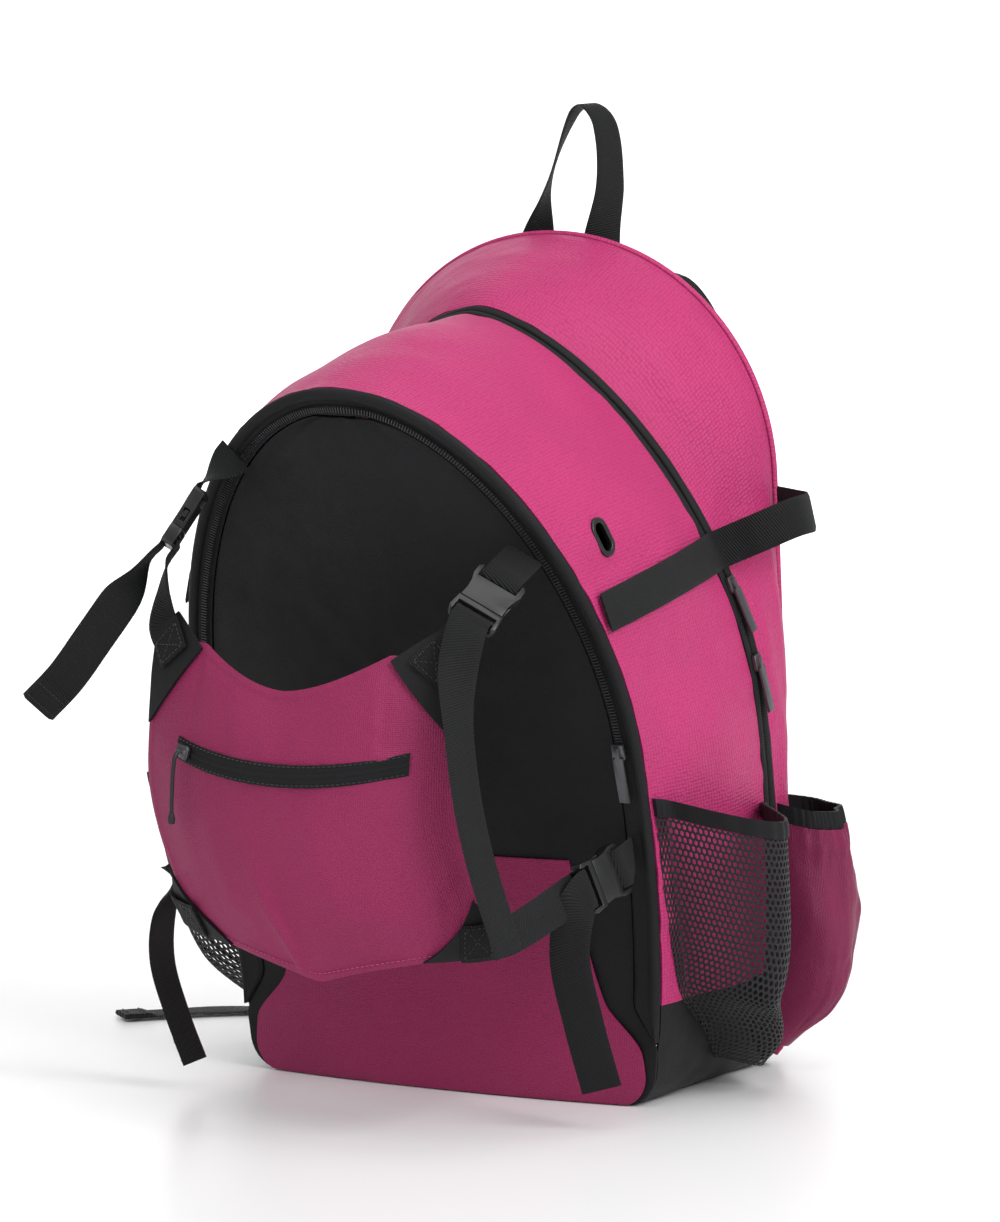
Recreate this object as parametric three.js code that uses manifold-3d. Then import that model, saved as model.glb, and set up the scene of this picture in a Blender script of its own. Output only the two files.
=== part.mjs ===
// A backpack that carries bats at its sides and a helmet in a strapped flap on its front.
// Millimetres, +Z up, the front faces -Y, and the base stands on Z = 0.
import * as THREE from 'three';
import { mergeVertices } from 'three/addons/utils/BufferGeometryUtils.js';
import Module from 'manifold-3d';

const wasm = await Module();
wasm.setup();

// Driving dimensions of the body
const HEIGHT = 536;
const WIDTH = 330;
const FOOT_WIDTH = 292;
const FOOT_DEPTH = 183;
const CROWN_DEPTH = 280;
const BACK_LEAN = 46;
const CORNER_RADIUS = 20;
const BASE_WALL_HEIGHT = 66;
const BELLY = 8;
const DENT_DEPTH = 10;
const FACE_CROWN = 9;

// Driving dimensions of cloth, trims and clearances
const CLOTH = 1.6;
const GAP = 0.3;
const PADDING = 9;
const PIPING_RADIUS = 2.4;
const FRONT_ZIP_WIDTH = 17;
const MAIN_ZIP_WIDTH = 13;
const ZIP_RISE = 1.4;
const SEAM_LIFT = 0.6;
const SEAM_STEP = 1.2;
const WEBBING_WIDTH = 25;
const WEBBING = 1.7;
const FOLDED_END = 20;
const PANEL_HEIGHT = 158;

// Driving dimensions of the eyelet
const EYELET_LENGTH = 26;
const EYELET_WIDTH = 16;
const EYELET_RIM = 3.4;
const EYELET_THICK = 4.4;

// Driving dimensions of the side pockets
const POCKET_TOP = 201;
const POCKET_FLOOR = 22;
const POCKET_SWELL = 60;
const POCKET_SLOPE = 20;
const SLEEVE_TOP = 178;
const SLEEVE_FLOOR = 18;
const SLEEVE_SWELL = 41;
const HEM_HEIGHT = 12;
const HEM_THICK = 2.2;

// Driving dimensions of the bat strap
const BAT_STRAP_FOOT = 318;
const BAT_STRAP_RISE = 50;
const BAT_LOOP = 42;

// Driving dimensions of the helmet flap
const FLAP_WIDTH = 222;
const FLAP_HEIGHT = 195;
const FLAP_FLOOR = 104;
const FLAP_REACH = 158;
const FLAP_DIP = 24;
const FLAP_ZIP_LENGTH = 162;
const FLAP_ZIP_WIDTH = 14;
const FLAP_ZIP_THICK = 1.6;
const STRAP_TAIL = 200;
const STRAP_BOW = 8;
const PULL_CORD_DIAMETER = 2.6;
const PULL_KNOB_LENGTH = 7;
const PULL_KNOB_DIAMETER = 5;

// Driving dimensions of the buckles
const BUCKLE_WIDTH = 33;
const BUCKLE_THICK = 8;
const SOCKET_LENGTH = 27;
const PLUG_LENGTH = 13;
const BAR_DEPTH = 3;
const SLOT_DEPTH = 5.6;
const BUCKLE_WALL = 2;
const PRONG_THICK = 3;

// Driving dimensions of the sliders and of the shoulder straps' adjusters
const SLIDER_WIDTH = 9;
const SLIDER_LENGTH = 11;
const SLIDER_HEIGHT = 4.2;
const SLIDER_CLEARANCE = 3.4;
const SLIDER_SPACING = 49.848;
const TAB_LENGTH = 30;
const TAB_WIDTH = 7;
const TAB_THICK = 1.6;
const ADJUSTER_LENGTH = 18;
const ADJUSTER_THICK = 4;
const ADJUSTER_SLOT = 4.6;

// Driving dimensions of the carrying straps and the handle
const HANDLE_SPAN = 46;
const HANDLE_STEPS = 22;
const HANDLE_HEIGHT = 92;
const SHOULDER_WIDTH = 62;
const SHOULDER_THICK = 12;
const SHOULDER_BOW = 62;
const SHOULDER_SPREAD = 58;
const TAIL_REACH = 170;

const vec = (x, y, z) => new THREE.Vector3(x, y, z);
const mix = (a, b, k) => a + (b - a) * k;
const mixPoints = (p, q, k) => p.clone().lerp(q, k);
const smooth = (k) => k * k * (3 - 2 * k);
const clamp = (k, low, high) => Math.min(Math.max(k, low), high);
const TURN = Math.PI / 2;

// The three arches that shape the bag. height and shoulder are shares of HEIGHT, width of WIDTH and
// foot of FOOT_WIDTH; footStep and crownStep are shares of FOOT_DEPTH and CROWN_DEPTH ahead of the
// back arch; top and side are the powers of the crown's curve and lean that of the forward lean.
const ARCHES = [
  {
    height: 0.852, width: 0.97, foot: 1, shoulder: 0.437, footStep: 1, crownStep: 1,
    top: 1.84, side: 2.02, lean: 1.74,
  },
  {
    height: 0.918, width: 1, foot: 1, shoulder: 0.469, footStep: 0.192, crownStep: 0.379,
    top: 1.73, side: 1.65, lean: 1.49,
  },
  {
    height: 1, width: 0.907, foot: 0.98, shoulder: 0.723, footStep: 0, crownStep: 0,
    top: 2.01, side: 2.03, lean: 1.27,
  },
];

// One arch of the body, from the right foot over the crown to the left foot
class Arch extends THREE.Curve {
  constructor(row) {
    super();
    this.arcLengthDivisions = 400;
    this.top = row.height * HEIGHT;
    this.half = row.width * WIDTH / 2;
    this.foot = row.foot * FOOT_WIDTH / 2;
    this.shoulder = row.shoulder * HEIGHT;
    this.footY = FOOT_DEPTH / 2 - row.footStep * FOOT_DEPTH;
    this.crownY = FOOT_DEPTH / 2 - BACK_LEAN - row.crownStep * CROWN_DEPTH;
    this.row = row;
  }

  depthAt(z) {
    return mix(this.footY, this.crownY, clamp(z / this.top, 0, 1) ** this.row.lean);
  }

  getPoint(t) {
    const side = t <= 0.5 ? 1 : -1;
    const k = side > 0 ? t * 2 : 2 - t * 2;
    let x;
    let z;
    if (k < 0.3) {
      z = this.shoulder * (k / 0.3) ** 2;
      x = mix(this.foot, this.half, 1 - (1 - z / this.shoulder) ** 2);
      if (z < CORNER_RADIUS) {
        x -= CORNER_RADIUS - Math.sqrt(CORNER_RADIUS ** 2 - (CORNER_RADIUS - z) ** 2);
      }
    } else {
      const turn = (k - 0.3) / 0.7 * TURN;
      x = this.half * Math.max(Math.cos(turn), 0) ** (2 / this.row.side);
      z = this.shoulder + (this.top - this.shoulder) * Math.sin(turn) ** (2 / this.row.top);
    }
    return vec(side * x, this.depthAt(z), z);
  }

  // The share of the arch's length at which its right side reaches a height
  shareAt(height) {
    let low = 0;
    let high = 0.5;
    for (let step = 0; step < 30; step += 1) {
      const middle = (low + high) / 2;
      if (this.getPointAt(middle).z < height) low = middle;
      else high = middle;
    }
    return low;
  }
}

const [frontArch, mainArch, backArch] = ARCHES.map((row) => new Arch(row));

// Dents and soft folds of the gussets: u along the arch, v across it, depth of DENT_DEPTH
const DENTS = [
  { u: 0.33, v: 1.45, spreadU: 0.045, spreadV: 0.36, depth: 0.8 },
  { u: 0.6, v: 1.5, spreadU: 0.035, spreadV: 0.5, depth: 1.0 },
  { u: 0.66, v: 0.6, spreadU: 0.06, spreadV: 0.5, depth: 0.7 },
  { u: 0.42, v: 0.55, spreadU: 0.05, spreadV: 0.5, depth: 0.35 },
  { u: 0.325, v: 0.2, spreadU: 0.012, spreadV: 0.3, depth: 0.45 },
  { u: 0.26, v: 0.5, spreadU: 0.03, spreadV: 0.4, depth: 0.5 },
  { u: 0.5, v: 1.6, spreadU: 0.05, spreadV: 0.5, depth: 0.3 },
  { u: 0.07, v: 0.3, spreadU: 0.02, spreadV: 0.2, depth: 0.5 },
];

const dentAt = (u, v) => DENTS.reduce((sum, d) => (
  sum - d.depth * DENT_DEPTH * Math.exp(-(((u - d.u) / d.spreadU) ** 2) - ((v - d.v) / d.spreadV) ** 2)
), 0);

// The ruled surface through the arches: v is 0 at the front one, 1 at the main zip, 2 at the back
function ruled(u, v) {
  const rear = v > 1;
  const [from, to] = rear ? [mainArch, backArch] : [frontArch, mainArch];
  return mixPoints(from.getPointAt(clamp(u, 0, 1)), to.getPointAt(clamp(u, 0, 1)), rear ? v - 1 : v);
}

// The share of the gusset's length at which its right side reaches a height on the line v
function shareAtHeight(height, v) {
  let low = 0;
  let high = 0.5;
  for (let step = 0; step < 24; step += 1) {
    const middle = (low + high) / 2;
    if (ruled(middle, v).z < height) low = middle;
    else high = middle;
  }
  return low;
}

function normalOf(surface, u, v, topV) {
  const step = 0.006;
  const along = surface(Math.min(u + step, 1), v).sub(surface(Math.max(u - step, 0), v));
  const across = surface(u, Math.min(v + step, topV)).sub(surface(u, Math.max(v - step, 0)));
  return across.cross(along).normalize();
}

function swollen(u, v) {
  const k = v > 1 ? v - 1 : v;
  const swell = 4 * k * (1 - k);
  const fade = smooth(clamp(Math.min(u, 1 - u) / 0.1, 0, 1));
  const edge = smooth(clamp(swell * 1.6, 0, 1));
  return ruled(u, v).addScaledVector(normalOf(ruled, u, v, 2), fade * (BELLY * swell + edge * dentAt(u, v)));
}

// A point of the gussets' outer face, lifted by some millimetres
function skin(u, v, lift = 0) {
  return swollen(u, v).addScaledVector(normalOf(swollen, u, v, 2), lift);
}

// The v that lies some millimetres behind the line v0
function behind(u, v0, distance) {
  const from = v0 + (distance < 0 ? -0.5 : 0.5);
  const span = from > 1 ? ruled(u, 1).distanceTo(ruled(u, 2)) : ruled(u, 0).distanceTo(ruled(u, 1));
  return v0 + distance / span;
}

// The front face: its slope, the line some millimetres inside its arch, and its points
function faceNormal(z) {
  const slope = (frontArch.depthAt(z + 2) - frontArch.depthAt(Math.max(z - 2, 0))) / 4;
  return vec(0, -1, slope).normalize();
}

function faceEdge(u, inset, lift = 0) {
  const point = frontArch.getPointAt(u);
  const normal = faceNormal(point.z);
  const inward = normal.clone().cross(frontArch.getTangentAt(u)).normalize();
  return point.addScaledVector(inward, inset).addScaledVector(normal, lift);
}

function facePoint(u, s, inset, lift = 0) {
  const right = faceEdge(u, inset);
  const swell = FACE_CROWN * (1 - s * s) * smooth(clamp((0.5 - u) / 0.12, 0, 1));
  const point = vec(right.x * s, right.y, right.z);
  return point.addScaledVector(faceNormal(right.z), swell + lift);
}

// A closed wall between an outer and an inner face, both given over a in 0..1 and b in 0..1
function wall(stepsA, stepsB, outer, inner) {
  const points = [];
  const faces = [];
  const columns = stepsB + 1;
  const count = (stepsA + 1) * columns;
  for (const face of [outer, inner]) {
    for (let i = 0; i <= stepsA; i += 1) {
      for (let j = 0; j <= stepsB; j += 1) points.push(face(i / stepsA, j / stepsB));
    }
  }
  const quad = (a, b, c, d) => faces.push(a, b, c, a, c, d);
  for (let i = 0; i < stepsA; i += 1) {
    for (let j = 0; j < stepsB; j += 1) {
      const p = i * columns + j;
      quad(p, p + 1, p + columns + 1, p + columns);
      quad(p + count, p + columns + count, p + columns + 1 + count, p + 1 + count);
    }
  }
  for (let i = 0; i < stepsA; i += 1) {
    const p = i * columns;
    const q = p + stepsB;
    quad(p, p + columns, p + columns + count, p + count);
    quad(q + columns, q, q + count, q + columns + count);
  }
  const last = stepsA * columns;
  for (let j = 0; j < stepsB; j += 1) {
    quad(j + 1, j, j + count, j + 1 + count);
    quad(last + j, last + j + 1, last + j + 1 + count, last + j + count);
  }
  return closed(points, faces);
}

// A geometry from points and faces, turned so that its faces point out
function closed(points, faces) {
  let volume = 0;
  for (let i = 0; i < faces.length; i += 3) {
    const [a, b, c] = [points[faces[i]], points[faces[i + 1]], points[faces[i + 2]]];
    volume += a.dot(b.clone().cross(c));
  }
  const swapped = [0, 1, -1];
  const turned = volume > 0 ? faces : faces.map((_, i) => faces[i + swapped[i % 3]]);
  const geometry = new THREE.BufferGeometry();
  geometry.setAttribute('position', new THREE.Float32BufferAttribute(points.flatMap((p) => p.toArray()), 3));
  geometry.setIndex(turned);
  return geometry;
}

// Joins and cuts of closed geometries
function solid(geometry) {
  const bare = geometry.clone();
  bare.deleteAttribute('normal');
  bare.deleteAttribute('uv');
  const merged = mergeVertices(bare, 1e-4);
  return new wasm.Manifold(new wasm.Mesh({
    numProp: 3,
    vertProperties: new Float32Array(merged.attributes.position.array),
    triVerts: new Uint32Array(merged.index.array),
  }));
}

function geometryOf(manifold) {
  const mesh = manifold.getMesh();
  const geometry = new THREE.BufferGeometry();
  geometry.setAttribute('position', new THREE.BufferAttribute(mesh.vertProperties, 3));
  geometry.setIndex(new THREE.BufferAttribute(mesh.triVerts, 1));
  return geometry;
}

const cut = (body, ...tools) => geometryOf(tools.reduce((s, t) => s.subtract(solid(t)), solid(body)));
const join = (...bodies) => geometryOf(bodies.slice(1).reduce((s, b) => s.add(solid(b)), solid(bodies[0])));

// A box from its centre and size
function block(width, depth, height, x = 0, y = 0, z = 0) {
  return new THREE.BoxGeometry(width, depth, height).translate(x, y, z);
}

// A flat strap along points, with the direction of its width at each, and a fold at its end
function ribbon(points, acrosses, width, thickness, fold = 0) {
  const last = points.length - 1;
  const toEnd = points.map(() => 0);
  for (let i = last - 1; i >= 0; i -= 1) toEnd[i] = toEnd[i + 1] + points[i].distanceTo(points[i + 1]);
  const frames = points.map((p, i) => {
    const before = i > 0 ? p.clone().sub(points[i - 1]).normalize() : null;
    const after = i < last ? points[i + 1].clone().sub(p).normalize() : null;
    const way = (before ?? after).clone().add(after ?? before).normalize();
    const normal = acrosses[i].clone().cross(way).normalize();
    const bend = before && after ? Math.max(before.dot(way), 0.6) : 1;
    return { p, normal, across: way.clone().cross(normal).normalize(), bend };
  });
  const face = (side) => (a, b) => {
    const i = Math.round(a * last);
    const f = frames[i];
    const layers = toEnd[i] < fold ? 2 : 1;
    const lift = side > 0 ? thickness * (layers - 0.5) : -thickness / 2;
    return f.p.clone().addScaledVector(f.across, (b - 0.5) * width).addScaledVector(f.normal, lift / f.bend);
  };
  return wall(last, 1, face(1), face(-1));
}

// Points along a smooth curve through the given ones
const through = (points, steps) => (
  new THREE.CatmullRomCurve3(points, false, 'centripetal').getSpacedPoints(steps)
);

// A value from a table of shares, smoothly between its rows
function lookUp(table, column, t) {
  let i = 0;
  while (i < table.length - 2 && t > table[i + 1].t) i += 1;
  const [a, b] = [table[i], table[i + 1]];
  const before = table[Math.max(i - 1, 0)];
  const after = table[Math.min(i + 2, table.length - 1)];
  const span = b.t - a.t;
  const slopeA = (b[column] - before[column]) / (b.t - before.t) * span;
  const slopeB = (after[column] - a[column]) / (after.t - a.t) * span;
  const k = (t - a.t) / span;
  return mix(a[column], b[column], smooth(k)) + slopeA * k * (1 - k) ** 2 - slopeB * k * k * (1 - k);
}

const COLOURS = {
  pink: { color: 0xc43d7c, roughness: 0.55, metalness: 0 },
  black: { color: 0x26272b, roughness: 0.75, metalness: 0 },
  webbing: { color: 0x2b2d30, roughness: 0.8, metalness: 0 },
  mesh: { color: 0x3c4240, roughness: 0.8, metalness: 0 },
  plastic: { color: 0x17191b, roughness: 0.4, metalness: 0 },
  metal: { color: 0x4a4d50, roughness: 0.35, metalness: 0.8 },
};

const bag = new THREE.Group();

function add(name, colour, geometry, matrix) {
  const mesh = new THREE.Mesh(geometry, new THREE.MeshStandardMaterial(COLOURS[colour]));
  mesh.name = name;
  if (matrix) {
    mesh.applyMatrix4(matrix);
  }
  bag.add(mesh);
  return mesh;
}

const SIDES = [{ name: 'right', sign: 1 }, { name: 'left', sign: -1 }];
const sideU = (sign, u) => (sign > 0 ? u : 1 - u);

// The gussets, the base and the zips
const baseShare = frontArch.shareAt(BASE_WALL_HEIGHT);
const arcSpan = (a, trim) => mix(baseShare + trim, 1 - baseShare - trim, a);
const gapShare = GAP / frontArch.getLength() * 1.2;
const zipHalf = MAIN_ZIP_WIDTH / 2;

function gusset(stepsA, stepsB, fromV, toV) {
  const at = (lift) => (a, b) => {
    const u = arcSpan(a, gapShare);
    return skin(u, mix(fromV(u), toV(u), b), lift);
  };
  return wall(stepsA, stepsB, at(0), at(-CLOTH));
}

// The eyelet: an oval rim that grips the edge of a hole in the front gusset
const eyeletU = frontArch.shareAt(HEIGHT * 0.666);
const eyeletV = 0.275;

function oval(length, width) {
  const shape = new THREE.Shape();
  const r = width / 2;
  const h = length / 2 - r;
  shape.absarc(0, h, r, 0, Math.PI, false);
  shape.absarc(0, -h, r, Math.PI, 2 * Math.PI, false);
  shape.closePath();
  return shape;
}

function eyeletFrame() {
  const normal = skin(eyeletU, eyeletV, 1).sub(skin(eyeletU, eyeletV, 0)).normalize();
  const up = skin(eyeletU + 0.01, eyeletV).sub(skin(eyeletU - 0.01, eyeletV)).normalize();
  const aside = up.clone().cross(normal).normalize();
  return new THREE.Matrix4().makeBasis(aside, normal.clone().cross(aside), normal)
    .setPosition(skin(eyeletU, eyeletV, -CLOTH / 2));
}

const eyeletMatrix = eyeletFrame();
const extrude = (shape, depth, curveSegments = 6) => (
  new THREE.ExtrudeGeometry(shape, { depth, bevelEnabled: false, curveSegments }).translate(0, 0, -depth / 2)
);
const hole = extrude(oval(EYELET_LENGTH + 2 * GAP, EYELET_WIDTH + 2 * GAP), 8 * CLOTH + BELLY)
  .applyMatrix4(eyeletMatrix);
const frontSeam = CLOTH + 3 * GAP;
const frontGusset = gusset(40, 4, (u) => behind(u, 0, frontSeam), (u) => behind(u, 1, -zipHalf - GAP));
add('front_gusset', 'pink', cut(frontGusset, hole));
add('rear_gusset', 'pink', gusset(40, 4, (u) => behind(u, 1, zipHalf + GAP), (u) => behind(u, 2, -GAP)));

const rimShape = oval(EYELET_LENGTH, EYELET_WIDTH);
rimShape.holes.push(oval(EYELET_LENGTH - 2 * EYELET_RIM, EYELET_WIDTH - 2 * EYELET_RIM));
add('eyelet', 'plastic', extrude(rimShape, EYELET_THICK, 5), eyeletMatrix);

// A zip band's outer face stands over its tape by shares of its rise
const COIL = [{ rise: 0.25 }, { rise: 1 }, { rise: 1 }, { rise: 0.25 }];
const mainZip = (lifted) => (a, b) => {
  const u = arcSpan(a, gapShare);
  const v = behind(u, 1, (b - 0.5) * MAIN_ZIP_WIDTH);
  return skin(u, v, lifted ? ZIP_RISE * COIL[Math.round(b * 3)].rise : -CLOTH);
};
add('main_zip', 'black', wall(40, 3, mainZip(true), mainZip(false)));

const PIPED_ZIP = [{ rise: 0.2 }, { rise: 2 }, { rise: 0.6 }, { rise: 1.7 }, { rise: 0.5 }];
const ZIP_FOOT = 0.7;
const faceInset = (u) => {
  const widened = smooth(clamp((u / baseShare - 0.6) / 0.4, 0, 1));
  return mix(GAP, FRONT_ZIP_WIDTH + SEAM_STEP, widened);
};
const frontZip = (lifted) => (a, b) => {
  const u = mix(baseShare * ZIP_FOOT, 1 - baseShare * ZIP_FOOT, a);
  const width = faceInset(Math.min(u, 1 - u)) - SEAM_STEP;
  return faceEdge(u, b * width, lifted ? ZIP_RISE * PIPED_ZIP[Math.round(b * 4)].rise : -CLOTH);
};
add('front_zip', 'black', wall(40, 4, frontZip(true), frontZip(false)));

// The base: a pan that turns up at both sides
const BASE_STEPS = 5;
const FLOOR_STEPS = 6;

function panPoint(a, v, lift) {
  const step = a * (2 * BASE_STEPS + FLOOR_STEPS);
  const wallStep = Math.min(step, 2 * BASE_STEPS + FLOOR_STEPS - step);
  if (wallStep <= BASE_STEPS) {
    const u = baseShare * (1 - wallStep / BASE_STEPS) ** 1.4;
    const point = skin(u, v, lift);
    if (wallStep === BASE_STEPS) point.z = -lift;
    return step <= BASE_STEPS ? point : vec(-point.x, point.y, point.z);
  }
  const right = skin(0, v, 0);
  return vec(mix(right.x, -right.x, (step - BASE_STEPS) / FLOOR_STEPS), right.y, -lift);
}

const basePoint = (lift) => (a, b) => panPoint(a, mix(behind(0, 0, frontSeam), behind(0, 2, -GAP), b), lift);
add('base', 'black', wall(2 * BASE_STEPS + FLOOR_STEPS, 4, basePoint(0), basePoint(-CLOTH)));

// The front: a black panel inside the zip, and a pink pocket panel over its lower part
const FACE_TOP = 0.478;
const faceRow = (a) => mix(frontArch.shareAt(2 * GAP), FACE_TOP, a);
const panel = (lift) => (a, b) => {
  const u = faceRow(a ** 1.1);
  return facePoint(u, 1 - 2 * b, faceInset(u), lift);
};
add('front_panel', 'black', wall(18, 6, panel(0), panel(-CLOTH)));

const PANEL_SIDES = [
  { t: 0, width: 0.985 }, { t: 0.25, width: 0.94 }, { t: 0.6, width: 0.8 }, { t: 1, width: 0.72 },
];
const panelTop = frontArch.shareAt(PANEL_HEIGHT);
const pocketPanel = (lift) => (a, b) => {
  const u = mix(frontArch.shareAt(2 * GAP), panelTop, a);
  const s = (1 - 2 * b) * lookUp(PANEL_SIDES, 'width', a);
  const fullness = 5 * Math.sin(Math.PI * a) * (1 - (1 - 2 * b) ** 4);
  return facePoint(u, s, faceInset(u), GAP + fullness + lift);
};
add('lower_front_panel', 'pink', wall(7, 6, pocketPanel(CLOTH), pocketPanel(0)));

// The back: a padded panel inside the piping of the back arch
class PipingPath extends THREE.Curve {
  getPoint(t) {
    const point = backArch.getPointAt(mix(0.012, 0.988, t));
    return point.add(vec(0, PIPING_RADIUS + GAP, 0));
  }
}

const roundSection = (radius, sides) => new THREE.Shape(Array.from({ length: sides }, (_, i) => (
  new THREE.Vector2(radius * Math.cos(2 * Math.PI * i / sides), radius * Math.sin(2 * Math.PI * i / sides))
)));
add('back_piping', 'pink', new THREE.ExtrudeGeometry(roundSection(PIPING_RADIUS, 5), {
  steps: 40, bevelEnabled: false, extrudePath: new PipingPath(),
}));

const BACK_TOP = 0.474;
const backInset = PIPING_RADIUS + GAP;
const backPanel = (outer) => (a, b) => {
  const u = mix(backArch.shareAt(3), BACK_TOP, a);
  const edge = backArch.getPointAt(u);
  const s = 1 - 2 * b;
  const rim = 1 - s ** 6;
  const ends = smooth(clamp(Math.min(a, 1 - a) * 9, 0, 1));
  const pad = outer ? mix(CLOTH, PADDING, rim * ends) + PADDING * 0.5 * (1 - s * s) * ends : 0;
  const inset = 1 - 2 * backInset / Math.max(edge.x, backInset * 12);
  return vec(edge.x * s * inset, edge.y + GAP + pad, edge.z - Math.max(a - 0.9, 0) * 60);
};
add('back_panel', 'black', wall(14, 8, backPanel(true), backPanel(false)));

// Side pockets: rows run from the floor (t 0) to the hem (t 1); front and rear are v values and
// swell is a share of the pocket's named swell
const BOTTLE_POCKET = [
  { t: 0, front: 0.5, rear: 0.93, swell: 0.4 },
  { t: 0.12, front: 0.36, rear: 0.94, swell: 0.66 },
  { t: 0.3, front: 0.14, rear: 0.945, swell: 0.86 },
  { t: 0.6, front: 0.05, rear: 0.95, swell: 0.96 },
  { t: 1, front: 0.03, rear: 0.95, swell: 1 },
];
const BAT_SLEEVE = [
  { t: 0, front: 1.2, rear: 1.86, swell: 0.2 },
  { t: 0.2, front: 1.16, rear: 1.93, swell: 0.88 },
  { t: 0.38, front: 1.15, rear: 1.94, swell: 1 },
  { t: 0.7, front: 1.15, rear: 1.94, swell: 0.98 },
  { t: 1, front: 1.15, rear: 1.94, swell: 0.76 },
];

// How far the pockets stand out across their width: t runs from the front edge to the rear edge
const BOTTLE_ROUND = [
  { t: 0, out: 0 }, { t: 0.08, out: 0.02 }, { t: 0.17, out: 0.62 }, { t: 0.25, out: 0.95 },
  { t: 0.34, out: 1 }, { t: 0.45, out: 0.84 }, { t: 0.6, out: 0.52 }, { t: 0.8, out: 0.18 },
  { t: 0.94, out: 0.02 }, { t: 1, out: 0 },
];
const SLEEVE_ROUND = [
  { t: 0, out: 0 }, { t: 0.06, out: 0.34 }, { t: 0.17, out: 0.7 }, { t: 0.34, out: 0.95 }, { t: 0.5, out: 1 },
  { t: 0.66, out: 0.95 }, { t: 0.83, out: 0.7 }, { t: 0.94, out: 0.34 }, { t: 1, out: 0 },
];
const POCKETS = {
  bottle_pocket: {
    table: BOTTLE_POCKET, profile: BOTTLE_ROUND, floor: POCKET_FLOOR, top: POCKET_TOP, swell: POCKET_SWELL,
    slope: POCKET_SLOPE, colour: 'mesh', folds: 0, dip: 5,
  },
  bat_sleeve: {
    table: BAT_SLEEVE, profile: SLEEVE_ROUND, floor: SLEEVE_FLOOR, top: SLEEVE_TOP, swell: SLEEVE_SWELL,
    slope: 0, colour: 'pink', folds: 1.6, dip: 6,
  },
};
const zipSeam = zipHalf + SEAM_STEP;

function pocketPoint(pocket, sign, t, across, lift) {
  const round = Math.max(lookUp(pocket.profile, 'out', across), 0);
  const height = mix(pocket.floor, pocket.top - pocket.slope * across - pocket.dip * round, t);
  const zipU = shareAtHeight(height, 1);
  const limits = pocket.profile === SLEEVE_ROUND
    ? [behind(zipU, 1, zipSeam), 2]
    : [0, behind(zipU, 1, -zipSeam)];
  const front = Math.max(lookUp(pocket.table, 'front', t), limits[0]);
  const rear = Math.min(lookUp(pocket.table, 'rear', t), limits[1]);
  const v = mix(front, rear, across);
  const gather = pocket.folds * Math.sin(across * Math.PI * 7) * round * smooth(t);
  const swell = round * pocket.swell * lookUp(pocket.table, 'swell', t) + gather;
  return skin(sideU(sign, shareAtHeight(height, v)), v, SEAM_LIFT + swell + lift);
}

for (const [name, pocket] of Object.entries(POCKETS)) {
  const hemShare = HEM_HEIGHT / (pocket.top - pocket.floor);
  const gapT = GAP / (pocket.top - pocket.floor);
  for (const { name: side, sign } of SIDES) {
    const bodyFace = (lift) => (a, b) => pocketPoint(pocket, sign, a * (1 - hemShare), b, lift);
    const hemFace = (lift) => (a, b) => (
      pocketPoint(pocket, sign, mix(1 - hemShare + gapT, 1, a), b, lift - (HEM_THICK - CLOTH) / 2)
    );
    add(`${name}_${side}`, pocket.colour, wall(6, 12, bodyFace(CLOTH), bodyFace(0)));
    add(`${name}_hem_${side}`, 'black', wall(1, 12, hemFace(HEM_THICK), hemFace(0)));
  }
}

// Bat straps: sewn at the front arch, over the main zip, round the barrel, to the back arch
const BAT_STRAP = [
  { t: 0.04, lift: 0 }, { t: 0.9, lift: 0 }, { t: 1.04, lift: 0.02 }, { t: 1.16, lift: 0.4 },
  { t: 1.32, lift: 0.84 }, { t: 1.5, lift: 1 }, { t: 1.7, lift: 0.84 }, { t: 1.86, lift: 0.4 },
  { t: 1.95, lift: 0.02 },
];
const BAT_STRAP_STEPS = 18;
for (const { name: side, sign } of SIDES) {
  const points = [];
  const acrosses = [];
  for (let i = 0; i <= BAT_STRAP_STEPS; i += 1) {
    const v = mix(BAT_STRAP[0].t, BAT_STRAP[BAT_STRAP.length - 1].t, i / BAT_STRAP_STEPS);
    const lift = Math.max(lookUp(BAT_STRAP, 'lift', v), 0) * BAT_LOOP;
    const u = sideU(sign, shareAtHeight(BAT_STRAP_FOOT + BAT_STRAP_RISE * v / 2, v));
    points.push(skin(u, v, ZIP_RISE + 3 * GAP + WEBBING / 2 + lift));
    acrosses.push(skin(u + 0.01, v).sub(skin(u - 0.01, v)).normalize());
  }
  add(`bat_strap_${side}`, 'webbing', ribbon(points, acrosses, WEBBING_WIDTH, WEBBING));
}

// The helmet flap hangs in front of the face. height is a share of FLAP_HEIGHT, half and aside of
// half of FLAP_WIDTH, reach and recede of FLAP_REACH; recede is how far its edges fall back.
const FLAP = [
  { t: 0, height: 0, half: 0.53, aside: 0.13, reach: 0.9, recede: 0.08 },
  { t: 0.12, height: 0.1, half: 0.79, aside: 0.14, reach: 0.95, recede: 0.15 },
  { t: 0.25, height: 0.22, half: 0.94, aside: 0.08, reach: 0.99, recede: 0.2 },
  { t: 0.5, height: 0.5, half: 0.985, aside: -0.045, reach: 1.02, recede: 0.22 },
  { t: 0.75, height: 0.75, half: 0.99, aside: -0.045, reach: 0.99, recede: 0.19 },
  { t: 1, height: 1, half: 0.98, aside: -0.05, reach: 0.88, recede: 0.14 },
  { t: 1.3, height: 1.26, half: 1.08, aside: -0.06, reach: 0.62, recede: 0.04 },
];
const FLAP_ROOT = frontArch.depthAt(FLAP_FLOOR + FLAP_HEIGHT * 0.65);

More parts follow.
